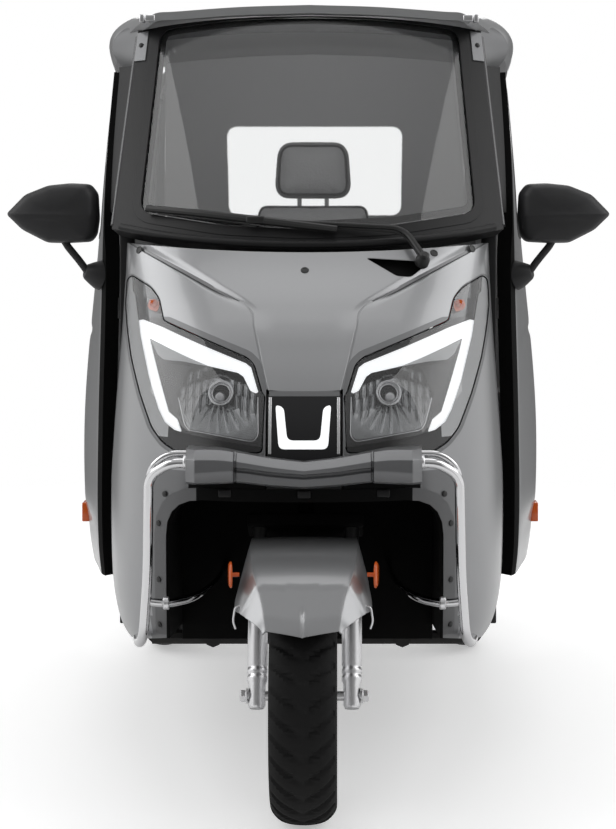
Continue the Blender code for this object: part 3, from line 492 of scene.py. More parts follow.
class Library:
    """Node groups shared by all finishes, each made once."""

    made: dict[str, bpy.types.NodeTree] = {}

    @classmethod
    def weather(cls) -> bpy.types.NodeTree:
        """Colour and roughness with mottling and road dust low down."""
        if "weather" in cls.made:
            return cls.made["weather"]
        tree = bpy.data.node_groups.new("weather", "ShaderNodeTree")
        face = tree.interface
        face.new_socket("Colour", in_out="INPUT", socket_type="NodeSocketColor")
        for name in ("Roughness", "Variation", "Dust"):
            face.new_socket(name, in_out="INPUT", socket_type="NodeSocketFloat")
        face.new_socket("Colour", in_out="OUTPUT", socket_type="NodeSocketColor")
        face.new_socket("Roughness", in_out="OUTPUT", socket_type="NodeSocketFloat")
        net = Net(tree)
        ends = net.add("NodeGroupInput")
        place = net.add("ShaderNodeTexCoord")
        broad = net.add("ShaderNodeTexNoise", Scale=3.5, Detail=4.0, Roughness=0.6)
        fine = net.add("ShaderNodeTexNoise", Scale=90.0, Detail=3.0)
        net.link(place, "Object", broad, "Vector")
        net.link(place, "Object", fine, "Vector")
        both = net.math("ADD", (broad, 0), (fine, 0))
        centred = net.math("SUBTRACT", (both, 0), 1.0)
        share = net.math("MULTIPLY", (centred, 0), (ends, "Variation"))
        value = net.math("ADD", (share, 0), 1.0)
        shade = net.add("ShaderNodeHueSaturation")
        net.link(ends, "Colour", shade, "Color")
        net.link(value, 0, shade, "Value")
        apart = net.add("ShaderNodeSeparateXYZ")
        net.link(place, "Object", apart, 0)
        low = net.ramp((apart, 2), 0.05, 0.62, 1.0, 0.0)
        spots = net.math("MULTIPLY", (low, 0), (broad, 0))
        dust = net.math("MULTIPLY", (spots, 0), (ends, "Dust"))
        mix = net.add("ShaderNodeMix")
        mix.data_type = "RGBA"
        net.link(dust, 0, mix, 0)
        net.link(shade, 0, mix, 6)
        mix.inputs[7].default_value = (0.20, 0.19, 0.17, 1.0)
        rough = net.math("ADD", (ends, "Roughness"), (share, 0))
        rougher = net.math("ADD", (rough, 0), (dust, 0))
        out = net.add("NodeGroupOutput")
        net.link(mix, 2, out, "Colour")
        net.link(rougher, 0, out, "Roughness")
        cls.made["weather"] = tree
        return tree

    @classmethod
    def relief(cls, pattern: Pattern) -> bpy.types.NodeTree:
        """The height of a fine pattern.

        Args:
            pattern: The pattern.

        Returns:
            Its node group.
        """
        if pattern.value in cls.made:
            return cls.made[pattern.value]
        tree = bpy.data.node_groups.new(pattern.value, "ShaderNodeTree")
        tree.interface.new_socket("Height", in_out="OUTPUT", socket_type="NodeSocketFloat")
        net = Net(tree)
        place = net.add("ShaderNodeTexCoord")
        stretch = net.add("ShaderNodeMapping")
        net.link(place, "Object", stretch, "Vector")
        if pattern in (Pattern.GRAIN, Pattern.LEATHER, Pattern.RUBBER):
            scale = {Pattern.GRAIN: 620.0, Pattern.LEATHER: 190.0, Pattern.RUBBER: 420.0}[pattern]
            cells = net.add("ShaderNodeTexVoronoi", Scale=scale, Randomness=0.9)
            noise = net.add("ShaderNodeTexNoise", Scale=scale / 3, Detail=3.0)
            net.link(stretch, 0, noise, "Vector")
            height = net.math("ADD", (cells, 0), (noise, 0))
        elif pattern is Pattern.FLUTES:
            cells = net.add("ShaderNodeTexWave", Scale=26.0, Distortion=0.0)
            fine = net.add("ShaderNodeTexWave", Scale=14.0, Distortion=0.0)
            fine.bands_direction = "Z"
            net.link(stretch, 0, fine, "Vector")
            low = net.math("MULTIPLY", (fine, 1), 0.25)
            height = net.math("ADD", (cells, 1), (low, 0))
        elif pattern is Pattern.PRISMS:
            cells = net.add("ShaderNodeTexWave", Scale=34.0, Distortion=0.0)
            cross = net.add("ShaderNodeTexWave", Scale=34.0, Distortion=0.0)
            cross.bands_direction = "Z"
            net.link(stretch, 0, cross, "Vector")
            height = net.math("MULTIPLY", (cells, 1), (cross, 1))
        else:
            if pattern is Pattern.BRUSHED:
                stretch.inputs["Scale"].default_value = (0.05, 1.0, 1.0)
            cells = net.add("ShaderNodeTexNoise", Scale=700.0, Detail=2.0)
            height = net.math("MULTIPLY", (cells, 0), 1.0)
        net.link(stretch, 0, cells, "Vector")
        net.link(height, 0, net.add("NodeGroupOutput"), "Height")
        cls.made[pattern.value] = tree
        return tree


class Net:
    """Short ways to add and link nodes of a tree."""

    def __init__(self, tree: bpy.types.NodeTree) -> None:
        """Work on a tree."""
        self.tree = tree

    def add(self, kind: str, **inputs: float) -> bpy.types.Node:
        """A new node with some inputs set.

        Args:
            kind: The node's type.
            inputs: Values of inputs by name.

        Returns:
            The new node.
        """
        node = self.tree.nodes.new(kind)
        for name, value in inputs.items():
            node.inputs[name].default_value = value
        return node

    def link(self, a: bpy.types.Node, out: int | str, b: bpy.types.Node, into: int | str) -> None:
        """Join an output to an input."""
        self.tree.links.new(a.outputs[out], b.inputs[into])

    def ramp(self, a: tuple, low: float, high: float, start: float, end: float) -> bpy.types.Node:
        """A smooth change of an output from start at low to end at high.

        Args:
            a: A node and its output.
            low: Where the change starts.
            high: Where it ends.
            start: The value below low.
            end: The value above high.

        Returns:
            The new node.
        """
        node = self.add("ShaderNodeMapRange")
        node.interpolation_type = "SMOOTHSTEP"
        for k, number in enumerate((low, high, start, end), start=1):
            node.inputs[k].default_value = number
        self.link(a[0], a[1], node, 0)
        return node

    def math(self, kind: str, a: tuple, b: tuple | float) -> bpy.types.Node:
        """A math node fed by an output and another output or a number.

        Args:
            kind: The operation.
            a: A node and its output.
            b: The same, or a number.

        Returns:
            The new node.
        """
        node = self.add("ShaderNodeMath")
        node.operation = kind
        self.link(a[0], a[1], node, 0)
        if isinstance(b, tuple):
            self.link(b[0], b[1], node, 1)
        else:
            node.inputs[1].default_value = b
        return node


@dataclass(frozen=True)
class Finish:
    """A surface finish and the material that shows it."""

    name: str
    colour: tuple[float, float, float]
    roughness: float
    slot: str
    metallic: float = 0.0
    coat: float = 0.0
    glass: float = 0.0
    glow: float = 0.0
    pattern: Pattern = Pattern.GRAIN
    relief: float = 0.08
    variation: float = 0.08
    dust: float = 0.25
    edge: float = 0.0015
    specular: float = 0.5

    def material(self) -> bpy.types.Material:
        """The finish's material, made at its first use."""
        known = bpy.data.materials.get(self.name)
        if known:
            return known
        made = bpy.data.materials.new(self.name)
        made.use_nodes = True
        net = Net(made.node_tree)
        shader = made.node_tree.nodes["Principled BSDF"]
        colour = (*self.colour, 1.0)
        weather = net.add("ShaderNodeGroup")
        weather.node_tree = Library.weather()
        weather.inputs["Colour"].default_value = colour
        for name, value in (("Roughness", self.roughness), ("Variation", self.variation),
                            ("Dust", self.dust)):
            weather.inputs[name].default_value = value
        net.link(weather, "Colour", shader, "Base Color")
        net.link(weather, "Roughness", shader, "Roughness")
        shader.inputs["Metallic"].default_value = self.metallic
        shader.inputs["Coat Weight"].default_value = self.coat
        shader.inputs["Coat Roughness"].default_value = 0.06
        shader.inputs["Transmission Weight"].default_value = self.glass
        shader.inputs["Specular IOR Level"].default_value = self.specular
        if self.glow:
            shader.inputs["Emission Color"].default_value = colour
            shader.inputs["Emission Strength"].default_value = self.glow
        relief = net.add("ShaderNodeGroup")
        relief.node_tree = Library.relief(self.pattern)
        bump = net.add("ShaderNodeBump", Strength=self.relief, Distance=0.001)
        net.link(relief, "Height", bump, "Height")
        if self.edge and not self.glass:
            soft = net.add("ShaderNodeBevel", Radius=self.edge)
            soft.samples = 4
            net.link(soft, 0, bump, "Normal")
        net.link(bump, 0, shader, "Normal")
        return made


PAINT = Finish("silver_paint", (0.29, 0.293, 0.30), 0.30, "paint", 0.5, 0.5, pattern=Pattern.PEEL,
               relief=0.02, variation=0.03, dust=0.05, edge=0.003)
DARK_PAINT = Finish("dark_silver_paint", (0.16, 0.162, 0.167), 0.34, "dark_paint", 0.5, 0.3,
                    pattern=Pattern.PEEL, relief=0.03, variation=0.04, dust=0.1)
BAND = Finish("lamp_band", (0.44, 0.445, 0.45), 0.34, "dark_paint", 0.7, 0.2, pattern=Pattern.PEEL,
              relief=0.02, variation=0.03, dust=0.0)
BLACK = Finish("satin_black", (0.009, 0.009, 0.0095), 0.42, "black_plastic", dust=0.05, specular=0.25)
PILLAR_EDGE = Finish("pillar_edge", (0.06, 0.06, 0.062), 0.24, "black_plastic", 0.4, 0.3,
                     pattern=Pattern.PEEL, relief=0.02, variation=0.03, dust=0.0)
# Dark flange paint: the lamp flange's own colour, and painted shade in the hood grooves, under the nose lip
# and round the wheel opening below the beam.
FLANGE_AND_PAINTED_SHADE = Finish("lamp_flange", (0.15, 0.152, 0.156), 0.36, "paint", 0.4, 0.2, pattern=Pattern.PEEL,
                relief=0.02, variation=0.03, dust=0.0)
GLOSS_BLACK = Finish("gloss_black", (0.006, 0.006, 0.007), 0.16, "black_plastic", coat=0.15,
                     pattern=Pattern.PEEL, relief=0.02, variation=0.03, dust=0.0, specular=0.35)
DEEP_BLACK = Finish("deep_black", (0.003, 0.003, 0.003), 0.80, "black_plastic", dust=0.03, specular=0.1)
TRIM_GREY = Finish("trim_grey", (0.105, 0.106, 0.109), 0.5, "black_plastic", relief=0.12, dust=0.15)
BLACK_METAL = Finish("black_metal", (0.010, 0.010, 0.011), 0.38, "black_metal", 0.3, pattern=Pattern.PEEL,
                     dust=0.05, specular=0.3)
CHASSIS = Finish("chassis_paint", (0.018, 0.018, 0.019), 0.5, "chassis", 0.3, pattern=Pattern.PEEL,
                 relief=0.1, variation=0.12, dust=0.25, specular=0.3)
CHROME = Finish("chrome_bar", (0.68, 0.68, 0.69), 0.07, "chrome", 1.0, pattern=Pattern.PEEL, relief=0.01,
                variation=0.02, dust=0.03)
ALLOY = Finish("satin_alloy", (0.72, 0.72, 0.73), 0.30, "alloy", 1.0, pattern=Pattern.BRUSHED, relief=0.04,
               variation=0.05, dust=0.08)
TYRE = Finish("tyre_rubber", (0.005, 0.005, 0.0053), 0.70, "tyre", pattern=Pattern.RUBBER, relief=0.12,
              variation=0.12, dust=0.03, specular=0.18, edge=0.0008)
GLASS = Finish("tinted_glass", (0.99, 0.995, 0.995), 0.02, "glazing", glass=1.0, pattern=Pattern.PEEL,
               relief=0.004, variation=0.01, dust=0.0, specular=0.10)
SHADE = Finish("shade_band", (0.42, 0.425, 0.43), 0.02, "glazing", glass=1.0, pattern=Pattern.PEEL,
               relief=0.004, variation=0.01, dust=0.0, specular=0.10)
SIDE_GLASS = Finish("side_glass", (0.16, 0.165, 0.165), 0.03, "glazing", glass=1.0, pattern=Pattern.PEEL,
                    relief=0.004, variation=0.01, dust=0.0)
LENS = Finish("clear_lens", (0.96, 0.965, 0.97), 0.02, "lamp_lens", glass=1.0, pattern=Pattern.PEEL,
              relief=0.004, variation=0.01, dust=0.0, specular=0.15)
MILK = Finish("milk_lens", (0.62, 0.63, 0.64), 0.22, "lamp_lens", glass=0.35, pattern=Pattern.PRISMS,
              relief=0.10, variation=0.02, dust=0.0)
REFLECTOR = Finish("lamp_bowl", (0.30, 0.305, 0.31), 0.16, "lamp_lens", 1.0, pattern=Pattern.PEEL,
                   relief=0.03, variation=0.06, dust=0.0)
PRISM_LENS = Finish("prism_lens", (0.16, 0.163, 0.168), 0.20, "lamp_lens", 0.8, pattern=Pattern.PRISMS,
                    relief=0.6, variation=0.06, dust=0.0)
GLOW = Finish("white_light", (0.90, 0.91, 0.92), 0.25, "lamp_lens", glow=0.62, pattern=Pattern.FLUTES,
              relief=0.03, variation=0.01, dust=0.0)
MIRROR_BLACK = Finish("mirror_black", (0.022, 0.022, 0.023), 0.5, "black_plastic", dust=0.0, specular=0.3)
AMBER_LIT = Finish("amber_lit", (0.50, 0.075, 0.006), 0.2, "lamp_lens", glow=0.05, pattern=Pattern.PRISMS,
                   relief=0.6, variation=0.2, dust=0.0)
# Amber with a faint glow: lamp light on the side markers, painted light on the fender reflectors, which are
# no lamps.
AMBER = Finish("amber_bulb", (0.52, 0.085, 0.010), 0.14, "lamp_lens", glow=0.08, pattern=Pattern.PRISMS,
               relief=0.1, variation=0.04, dust=0.0)
RED = Finish("red_lens", (0.42, 0.012, 0.012), 0.12, "red_lens", coat=0.5, pattern=Pattern.PRISMS, relief=0.3,
             variation=0.05, dust=0.08)
VINYL = Finish("seat_vinyl", (0.19, 0.19, 0.194), 0.6, "upholstery", pattern=Pattern.LEATHER, relief=0.35,
               variation=0.10, dust=0.0)
LINING = Finish("cabin_lining", (0.36, 0.36, 0.364), 0.8, "upholstery", pattern=Pattern.LEATHER, relief=0.08,
                variation=0.05, dust=0.0, specular=0.2)

@dataclass
class Piece:
    """One piece of the visual model, from a form to a dressed object."""

    name: str
    form: Form
    finish: Finish
    body: str = "body"
    stands_for: tuple[str, ...] = ()
    wall: float = 0.0
    inside: Vector | None = None
    cuts: list[tuple[str, Form]] = field(default_factory=list)
    accents: list[tuple[Finish, Callable[[Vector, Vector], bool]]] = field(default_factory=list)

    def cut(self, form: Form) -> Piece:
        """Take a closed form away."""
        self.cuts.append(("DIFFERENCE", form))
        return self

    def keep(self, form: Form) -> Piece:
        """Keep only what lies in a closed form."""
        self.cuts.append(("INTERSECT", form))
        return self

    def accent(self, finish: Finish, test: Callable[[Vector, Vector], bool]) -> Piece:
        """Give another finish to the faces whose centre and normal pass a test."""
        self.accents.append((finish, test))
        return self

    def build(self) -> bpy.types.Object:
        """Make the object, finish its mesh, dress it and enter it in the frame.

        Returns:
            The finished object.
        """
        inside = None
        if self.wall:
            inside = self.inside or INSIDE
        made = _link(self.name, self.form.mesh(self.name, inside))
        if self.wall:
            solid = made.modifiers.new("wall", "SOLIDIFY")
            solid.thickness = self.wall
            solid.offset = -1.0
        tools = []
        for operation, form in self.cuts:
            tool = _link("tool", form.mesh("tool"))
            tools.append(tool)
            shape = made.modifiers.new("shape", "BOOLEAN")
            shape.operation = operation
            shape.solver = "EXACT"
            shape.object = tool
        if made.modifiers:
            graph = bpy.context.evaluated_depsgraph_get()
            baked = bpy.data.meshes.new_from_object(made.evaluated_get(graph))
            made.modifiers.clear()
            made.data = baked
        for tool in tools:
            bpy.data.objects.remove(tool, do_unlink=True)
        self._dress(made)
        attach(made, self.body)
        if self.stands_for:
            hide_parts(*self.stands_for)
        if not made.data.polygons:
            LOG.warning("%s has no faces", self.name)
        LOG.info("%s: %d faces", self.name, len(made.data.polygons))
        return made

    def _dress(self, made: bpy.types.Object) -> None:
        """Give the materials and smooth shading.

        Args:
            made: The finished object.
        """
        mesh = made.data
        mesh.name = self.name
        mesh.materials.clear()
        mesh.materials.append(self.finish.material())
        for face in mesh.polygons:
            face.material_index = 0
        for k, (finish, test) in enumerate(self.accents, start=1):
            mesh.materials.append(finish.material())
            for face in mesh.polygons:
                spot = face.center.copy()
                spot.y -= FRONT_AXLE_Y
                if test(spot, face.normal):
                    face.material_index = k
        mesh.shade_smooth()
        mesh.set_sharp_from_angle(angle=SHARP_ANGLE)


def _link(name: str, mesh: bpy.types.Mesh) -> bpy.types.Object:
    """A new object in the scene.

    Args:
        name: The object's name.
        mesh: Its mesh.

    Returns:
        The new object.
    """
    made = bpy.data.objects.new(name, mesh)
    bpy.context.scene.collection.objects.link(made)
    return made


class Nose:
    """The rounded nose surface."""

    ROWS = (
        (0.270, 0.350, 0.020), (0.310, 0.384, -0.005), (0.360, 0.400, -0.020), (0.430, 0.408, -0.033),
        (0.600, 0.410, -0.045), (0.700, 0.405, -0.040), (0.810, 0.398, 0.000), (0.900, 0.392, 0.070),
        (0.975, 0.388, 0.140), (1.050, 0.385, 0.215), (1.110, 0.383, 0.270),
    )
    REAR = 0.420
    POWER = 2.5
    _z, _half, _front = columns(ROWS)
    half = Curve(_z, _half)
    front = Curve(_z, _front)

    @classmethod
    def point(cls, x: float, z: float, depth: float = 0.0) -> Vector:
        """The surface point seen at x and z from the front, sunk by a depth.

        Args:
            x: Sideways.
            z: Height.
            depth: How far it lies under the surface.

        Returns:
            The point.
        """
        share = min(abs(x) / cls.half(z), 1.0)
        front = cls.front(z)
        spot = Vector((x, cls.REAR - (cls.REAR - front) * (1 - share**cls.POWER) ** (1 / cls.POWER), z))
        return spot - cls.normal(spot) * depth if depth else spot

    @classmethod
    def turn(cls, x: float, z: float) -> float:
        """How far round the nose a point lies, 0 in front and 1 at the side."""
        return math.asin(min((abs(x) / cls.half(z)) ** (cls.POWER / 2), 1.0)) * 2 / math.pi

    @classmethod
    def at(cls, turn: float, z: float, depth: float = 0.0) -> Vector:
        """The surface point at a turn and a height.

        Args:
            turn: The share of the way round.
            z: Height.
            depth: How far it lies under the surface.

        Returns:
            The point.
        """
        x = cls.half(z) * math.sin(turn * math.pi / 2) ** (2 / cls.POWER)
        spot = cls.point(x, z)
        return spot - cls.normal(spot) * depth if depth else spot

    @classmethod
    def normal(cls, point: Vector) -> Vector:
        """The outward direction at a surface point.

        Args:
            point: A point of the surface.

        Returns:
            A unit vector.
        """
        near = 0.004
        turn = min(max(cls.turn(point.x, point.z), near), 1.0 - near)
        around = cls.at(turn + near, point.z) - cls.at(turn - near, point.z)
        upward = cls.at(turn, point.z + near) - cls.at(turn, point.z - near)
        normal = around.cross(upward).normalized()
        if normal.y > 0:
            normal.negate()
        if point.x < 0:
            normal.x = -normal.x
        return normal

    @classmethod
    def patch(cls, low: float, high: float, inner: float, depth: float, across: int = 56,
              up: int = 48) -> Form:
        """A sheet of the left half of the surface between two heights.

        Args:
            low: The lower height.
            high: The upper height.
            inner: Its distance from the middle.
            depth: How far it lies under the surface.
            across: Faces round.
            up: Faces up.

        Returns:
            The sheet.
        """

        def place(u: float, v: float) -> Vector:
            """A point of the sheet, sunk under the nose's surface.

            Args:
                u: The share of the sheet's first way.
                v: The share of its second way.

            Returns:
                The point.
            """
            z = low + (high - low) * v
            start = cls.turn(inner, z)
            return cls.at(start + (0.985 - start) * u, z, depth)

        return Form().sheet(place, across, up)

    @classmethod
    def middle(cls, low: float, high: float, half: float, depth: float) -> Form:
        """A sheet of the surface across the middle."""
        return Form().sheet(lambda u, v: cls.point(half * (2 * u - 1), low + (high - low) * v, depth), 36, 48)


class Flank:
    """The side surface of the cabin."""

    HEIGHTS = (0.30, 0.45, 0.72, 1.08, 1.48)
    ROWS = (
        (0.44, 0.415, 0.425, 0.425, 0.420, 0.400), (0.50, 0.440, 0.458, 0.458, 0.448, 0.420),
        (0.75, 0.490, 0.515, 0.519, 0.488, 0.450), (1.00, 0.498, 0.523, 0.525, 0.497, 0.458),
        (1.25, 0.498, 0.523, 0.524, 0.495, 0.456), (1.50, 0.495, 0.520, 0.518, 0.482, 0.440),
        (1.75, 0.485, 0.510, 0.505, 0.462, 0.415), (2.00, 0.440, 0.465, 0.460, 0.425, 0.380),
    )
    curves = curves_of(ROWS)

    @classmethod
    def point(cls, s: float, z: float, depth: float = 0.0) -> Vector:
        """The left side's point at a distance and a height, sunk by a depth."""
        out = Curve(cls.HEIGHTS, [curve(s) for curve in cls.curves])(z)
        return Vector((out - depth, s, z))


class Screen:
    """The windscreen surface."""

    HALF = (0.415, 0.385)
    MIDDLE = (Vector((0.262, 1.086)), Vector((0.578, 1.599)))
    EDGE = (Vector((0.396, 1.128)), Vector((0.640, 1.573)))
    SHARE = 0.862
    LOW = 0.100
    HIGH = 0.984

    @classmethod
    def point(cls, u: float, v: float, depth: float = 0.0) -> Vector:
        """The point at u across, -1 to 1, and v up, 0 to 1, sunk by a depth.

        Args:
            u: The share across.
            v: The share up.
            depth: How far it lies under the surface.

        Returns:
            The point.
        """
        half = cls.HALF[0] + (cls.HALF[1] - cls.HALF[0]) * v
        middle = cls.MIDDLE[0].lerp(cls.MIDDLE[1], v)
        edge = cls.EDGE[0].lerp(cls.EDGE[1], v)
        place = middle.lerp(edge, abs(u) ** 2.2)
        spot = Vector((half * u, place.x, place.y))
        return spot + Vector((-0.25 * u, 0.80, -0.52)).normalized() * depth if depth else spot

    @classmethod
    def form(cls, depth: float = 0.0, across: int = 48, up: int = 44) -> Form:
        """The whole surface as a sheet."""
        return Form().sheet(lambda u, v: cls.point(2 * u - 1, v, depth), across, up)

    @classmethod
    def outline(cls, by: float = 0.0) -> list[Vector]:
        """The pane's outline in the front view, moved inward by a distance.

        Args:
            by: The distance.

        Returns:
            The outline in x and z.
        """
        low, high = cls.LOW, cls.HIGH
        corners = []
        for u, v in ((-1, low), (-0.5, low - 0.015), (0, low - 0.02), (0.5, low - 0.015), (1, low), (1, high),
                     (0.5, high + 0.009), (0, high + 0.012), (-0.5, high + 0.009), (-1, high)):
            spot = cls.point(cls.SHARE * u, v)
            corners.append((spot.x, spot.z))
        return inset(rounded(corners, 0.030, 6), by)


@dataclass
class NoseBody:
    """Hood, front panels, nose panel and what is fixed to them."""

    wall: float = 0.014
    gap: float = 0.0035
    panel_half: float = 0.070
    arch_half: float = 0.267
    arch_top: float = 0.612
    bolts: Corners = ((-0.350, 1.084), (-0.003, 1.044), (0.261, 1.078), (0.343, 1.087))
    screws: Corners = ((0.268, 0.618), (0.281, 0.560), (0.281, 0.45), (0.281, 0.36))
    recess: Corners = ((0.121, 1.068), (0.183, 1.032), (0.212, 1.030), (0.252, 1.060))
    hood_half: Curve = Curve.even((0.368, 0.280, 0.190, 0.112, 0.098, 0.083, 0.069))
    hood_edge: Curve = Curve.even((1.098, 1.058, 1.014, 0.972, 0.930, 0.870, 0.818))
    hood_middle: Curve = Curve.even((1.080, 1.046, 1.008, 0.971, 0.930, 0.869, 0.816))

    def hood(self) -> None:
        """The hood, its edges rolled down into the tapered grooves."""

        def place(u: float, v: float) -> Vector:
            """A point of the hood, with its groove and fold.

            Args:
                u: The share of the sheet's first way.
                v: The share of its second way.

            Returns:
                The point.
            """
            across = 2 * u - 1
            edge, middle = self.hood_edge(v), self.hood_middle(v)
            z = middle + (edge - middle) * across**2
            x = self.hood_half(v) * across
            groove = 0.006 * (1 - step(0.20, 0.60, v)) * step(0.86, 1.0, abs(across))
            fold = 0.0016 * step(0.5, 0.7, v) * step(0.55, 0.95, abs(across))
            return Nose.point(x, z, groove - fold + 0.00001)

        hood = Piece("hood_panel", Form().sheet(place, 80, 80), PAINT, stands_for=("hood",), wall=self.wall)
        outline = rounded(self.recess, 0.006)
        hood.cut(Form().prism(outline, -0.1, 0.5)).build()
        pan = Piece("wiper_recess", Nose.patch(0.98, 1.10, 0.09, 0.0142, 24, 16), DEEP_BLACK, wall=0.002)
        pan.keep(Form().prism(inset(outline, -0.006), -0.1, 0.5)).build()
        heads = Form()
        for x, z in self.bolts:
            spot = Nose.point(x, z)
            way = Nose.normal(spot)
            heads.lathe(((0.0003, 0.0), (0.0003, 0.0085), (0.0012, 0.0080), (0.0014, 0.0060),
                         (0.0006, 0.0050), (0.0006, 0.0)), spot, way, 18)
        Piece("hood_bolts", heads, BLACK_METAL).build()
        # The strip under the hood's lower edge takes the dark flange paint as painted shade under that edge.
        lip = Nose.middle(0.8075, 0.8170, 0.067, -0.0006)
        Piece("nose_lip", lip, FLANGE_AND_PAINTED_SHADE, wall=0.008).build()
        # The groove strips sunk under the seam take the dark flange paint as painted shade in the grooves;
        # the fold strips keep the body paint.
        for side in Side:
            for name, start, end, half, sunk, finish in (("hood_groove", 0.0, 0.45, 0.007, 0.0042, FLANGE_AND_PAINTED_SHADE),
                                                         ("hood_fold", 0.45, 0.99, 0.004, 0.0016, PAINT)):
                strip = self.seam(start, end, half, sunk)
                side.piece(name, strip, finish, wall=0.003).build()

    def seam(self, start: float, end: float, half: float, sunk: float) -> Form:
        """A strip that fills the seam beside the hood.

        Args:
            start: Where it starts along the hood's edge, 0 at the cowl.
            end: Where it ends, 1 at the nose.
            half: Half its width.
            sunk: How far it lies under the surface.

        Returns:
            The strip as a sheet.
        """

        def place(u: float, v: float) -> Vector:
            """A point of the strip.

            Args:
                u: The share of the sheet's first way.
                v: The share of its second way.

            Returns:
                The point.
            """
            along = start + (end - start) * v
            x = self.hood_half(along) + self.gap * 0.6 + half * (2 * u - 1)
            return Nose.point(x, self.hood_edge(along), sunk)

        return Form().sheet(place, 6, 40)

    def panels(self, lamps: Headlamps) -> None:
        """The front panels with lamp and wheel openings.

        Args:
            lamps: The lamps that need openings.
        """
        heights = list(reversed(self.hood_edge.ys))
        inner = Curve(heights, list(reversed(self.hood_half.ys)))
        low, high, flange = 0.278, 1.098, 58 / 60

        def place(u: float, v: float) -> Vector:
            """A point of the panel, its last column turned in as a flange.

            Args:
                u: The share of the sheet's first way.
                v: The share of its second way.

            Returns:
                The point.
            """
            z = low + (high - low) * v
            rise = 0.090 * max(0.0, 1.0 - (z - low) / 0.16)
            share = min(u / flange, 1.0)
            height = z + rise * (1.0 - share)
            edge = (self.panel_half if z < heights[0] else inner(z)) + self.gap
            edge += 0.0050 * step(0.982, 0.994, height)
            start = Nose.turn(edge, height)
            sunk = 0.007 * (1 - step(0.0, 0.05, share)) * step(0.97, 1.01, z)
            spot = Nose.at(start + (0.975 - start) * share, height, sunk + 0.00001)
            if u > flange:
                spot = Vector((spot.x + 0.0005, Nose.REAR + 0.012, spot.z))
            return spot

        for side in Side:
            panel = side.piece("front_skin", Form().sheet(place, 60, 110), PAINT,
                               stands_for=(f"front_panel_{side.word}",), wall=self.wall)
            panel.accent(DEEP_BLACK, lambda spot, normal: normal.y > 0.55 and spot.y < 0.40)
            # Below the beam the panel round the wheel opening is darkened as painted shade: flange paint, and
            # the deepest black in the middle.
            panel.accent(FLANGE_AND_PAINTED_SHADE, lambda spot, normal: abs(spot.x) < 0.300 and spot.z < 0.668)
            panel.accent(DEEP_BLACK, lambda spot, normal: abs(spot.x) < 0.218 and spot.z < 0.668)
            panel.cut(Form().prism(lamps.outline(0.0, side), -0.2, Nose.REAR - 0.01))
            panel.cut(Form().prism(self.arch(0.0), -0.3, 0.35)).build()

    def arch(self, by: float) -> list[Vector]:
        """The wheel opening in the front view, moved inward by a distance."""
        x, top = self.arch_half - by, self.arch_top - by
        return rounded([(-x, 0.1), (x, 0.1), (x, top), (-x, top)], 0.075 - by)

    def arch_trim(self) -> None:
        """The dark strip round the wheel opening, with its screws."""
        strip = Form()
        patch = Form().sheet(lambda u, v: Nose.point(0.33 * (2 * u - 1), 0.34 + 0.305 * v, -0.0012), 90, 60)
        trim = Piece("arch_trim", patch, TRIM_GREY, wall=0.004)
        trim.keep(Form().prism(self.arch(-0.024), -0.3, 0.35)).cut(Form().prism(self.arch(0.0002), -0.4, 0.4))
        # The trim's middle, under the beam, is the deepest black as painted shade.
        trim.accent(DEEP_BLACK, lambda spot, normal: abs(spot.x) < 0.205)
        trim.build()
        for x, z in self.screws:
            for sign in (-1, 1):
                spot = Nose.point(sign * x, z, -0.0014)
                strip.lathe(SCREW_HEAD, spot, Nose.normal(spot), 14)
        Piece("arch_screws", strip, BLACK_METAL).build()

    def nose_plate(self) -> None:
        """The black plate between the lamps with its U-shaped light and bright strips."""
        plate = Piece("nose_plate", Nose.middle(0.622, 0.812, self.panel_half, 0.0), GLOSS_BLACK,
                      stands_for=("nose_panel",), wall=self.wall)
        plate.build()
        outer = [(-0.055, 0.793), (-0.048, 0.711), (0.045, 0.711), (0.051, 0.793)]
        inner = [(0.036, 0.787), (0.030, 0.727), (-0.032, 0.727), (-0.039, 0.787)]
        light = Piece("nose_light", Nose.middle(0.69, 0.81, 0.068, -0.003), GLOW, wall=0.0028)
        light.keep(Form().prism(rounded(outer + inner, 0.011, 5), -0.3, 0.3)).build()
        for side in Side:
            ends = [(0.0625, 0.702), (0.0675, 0.702), (0.0675, 0.806), (0.0625, 0.806)]
            strip = Piece(f"nose_strip_{side.word}", Nose.middle(0.69, 0.811, 0.0695, -0.003), CHROME,
                          wall=0.0028)
            strip.keep(Form().prism(flipped(ends, side), -0.3, 0.3)).build()

    def build(self, lamps: Headlamps) -> None:
        """All of the nose.

        Args:
            lamps: The lamps that need openings.
        """
        self.hood()
        self.panels(lamps)
        self.arch_trim()
        self.nose_plate()


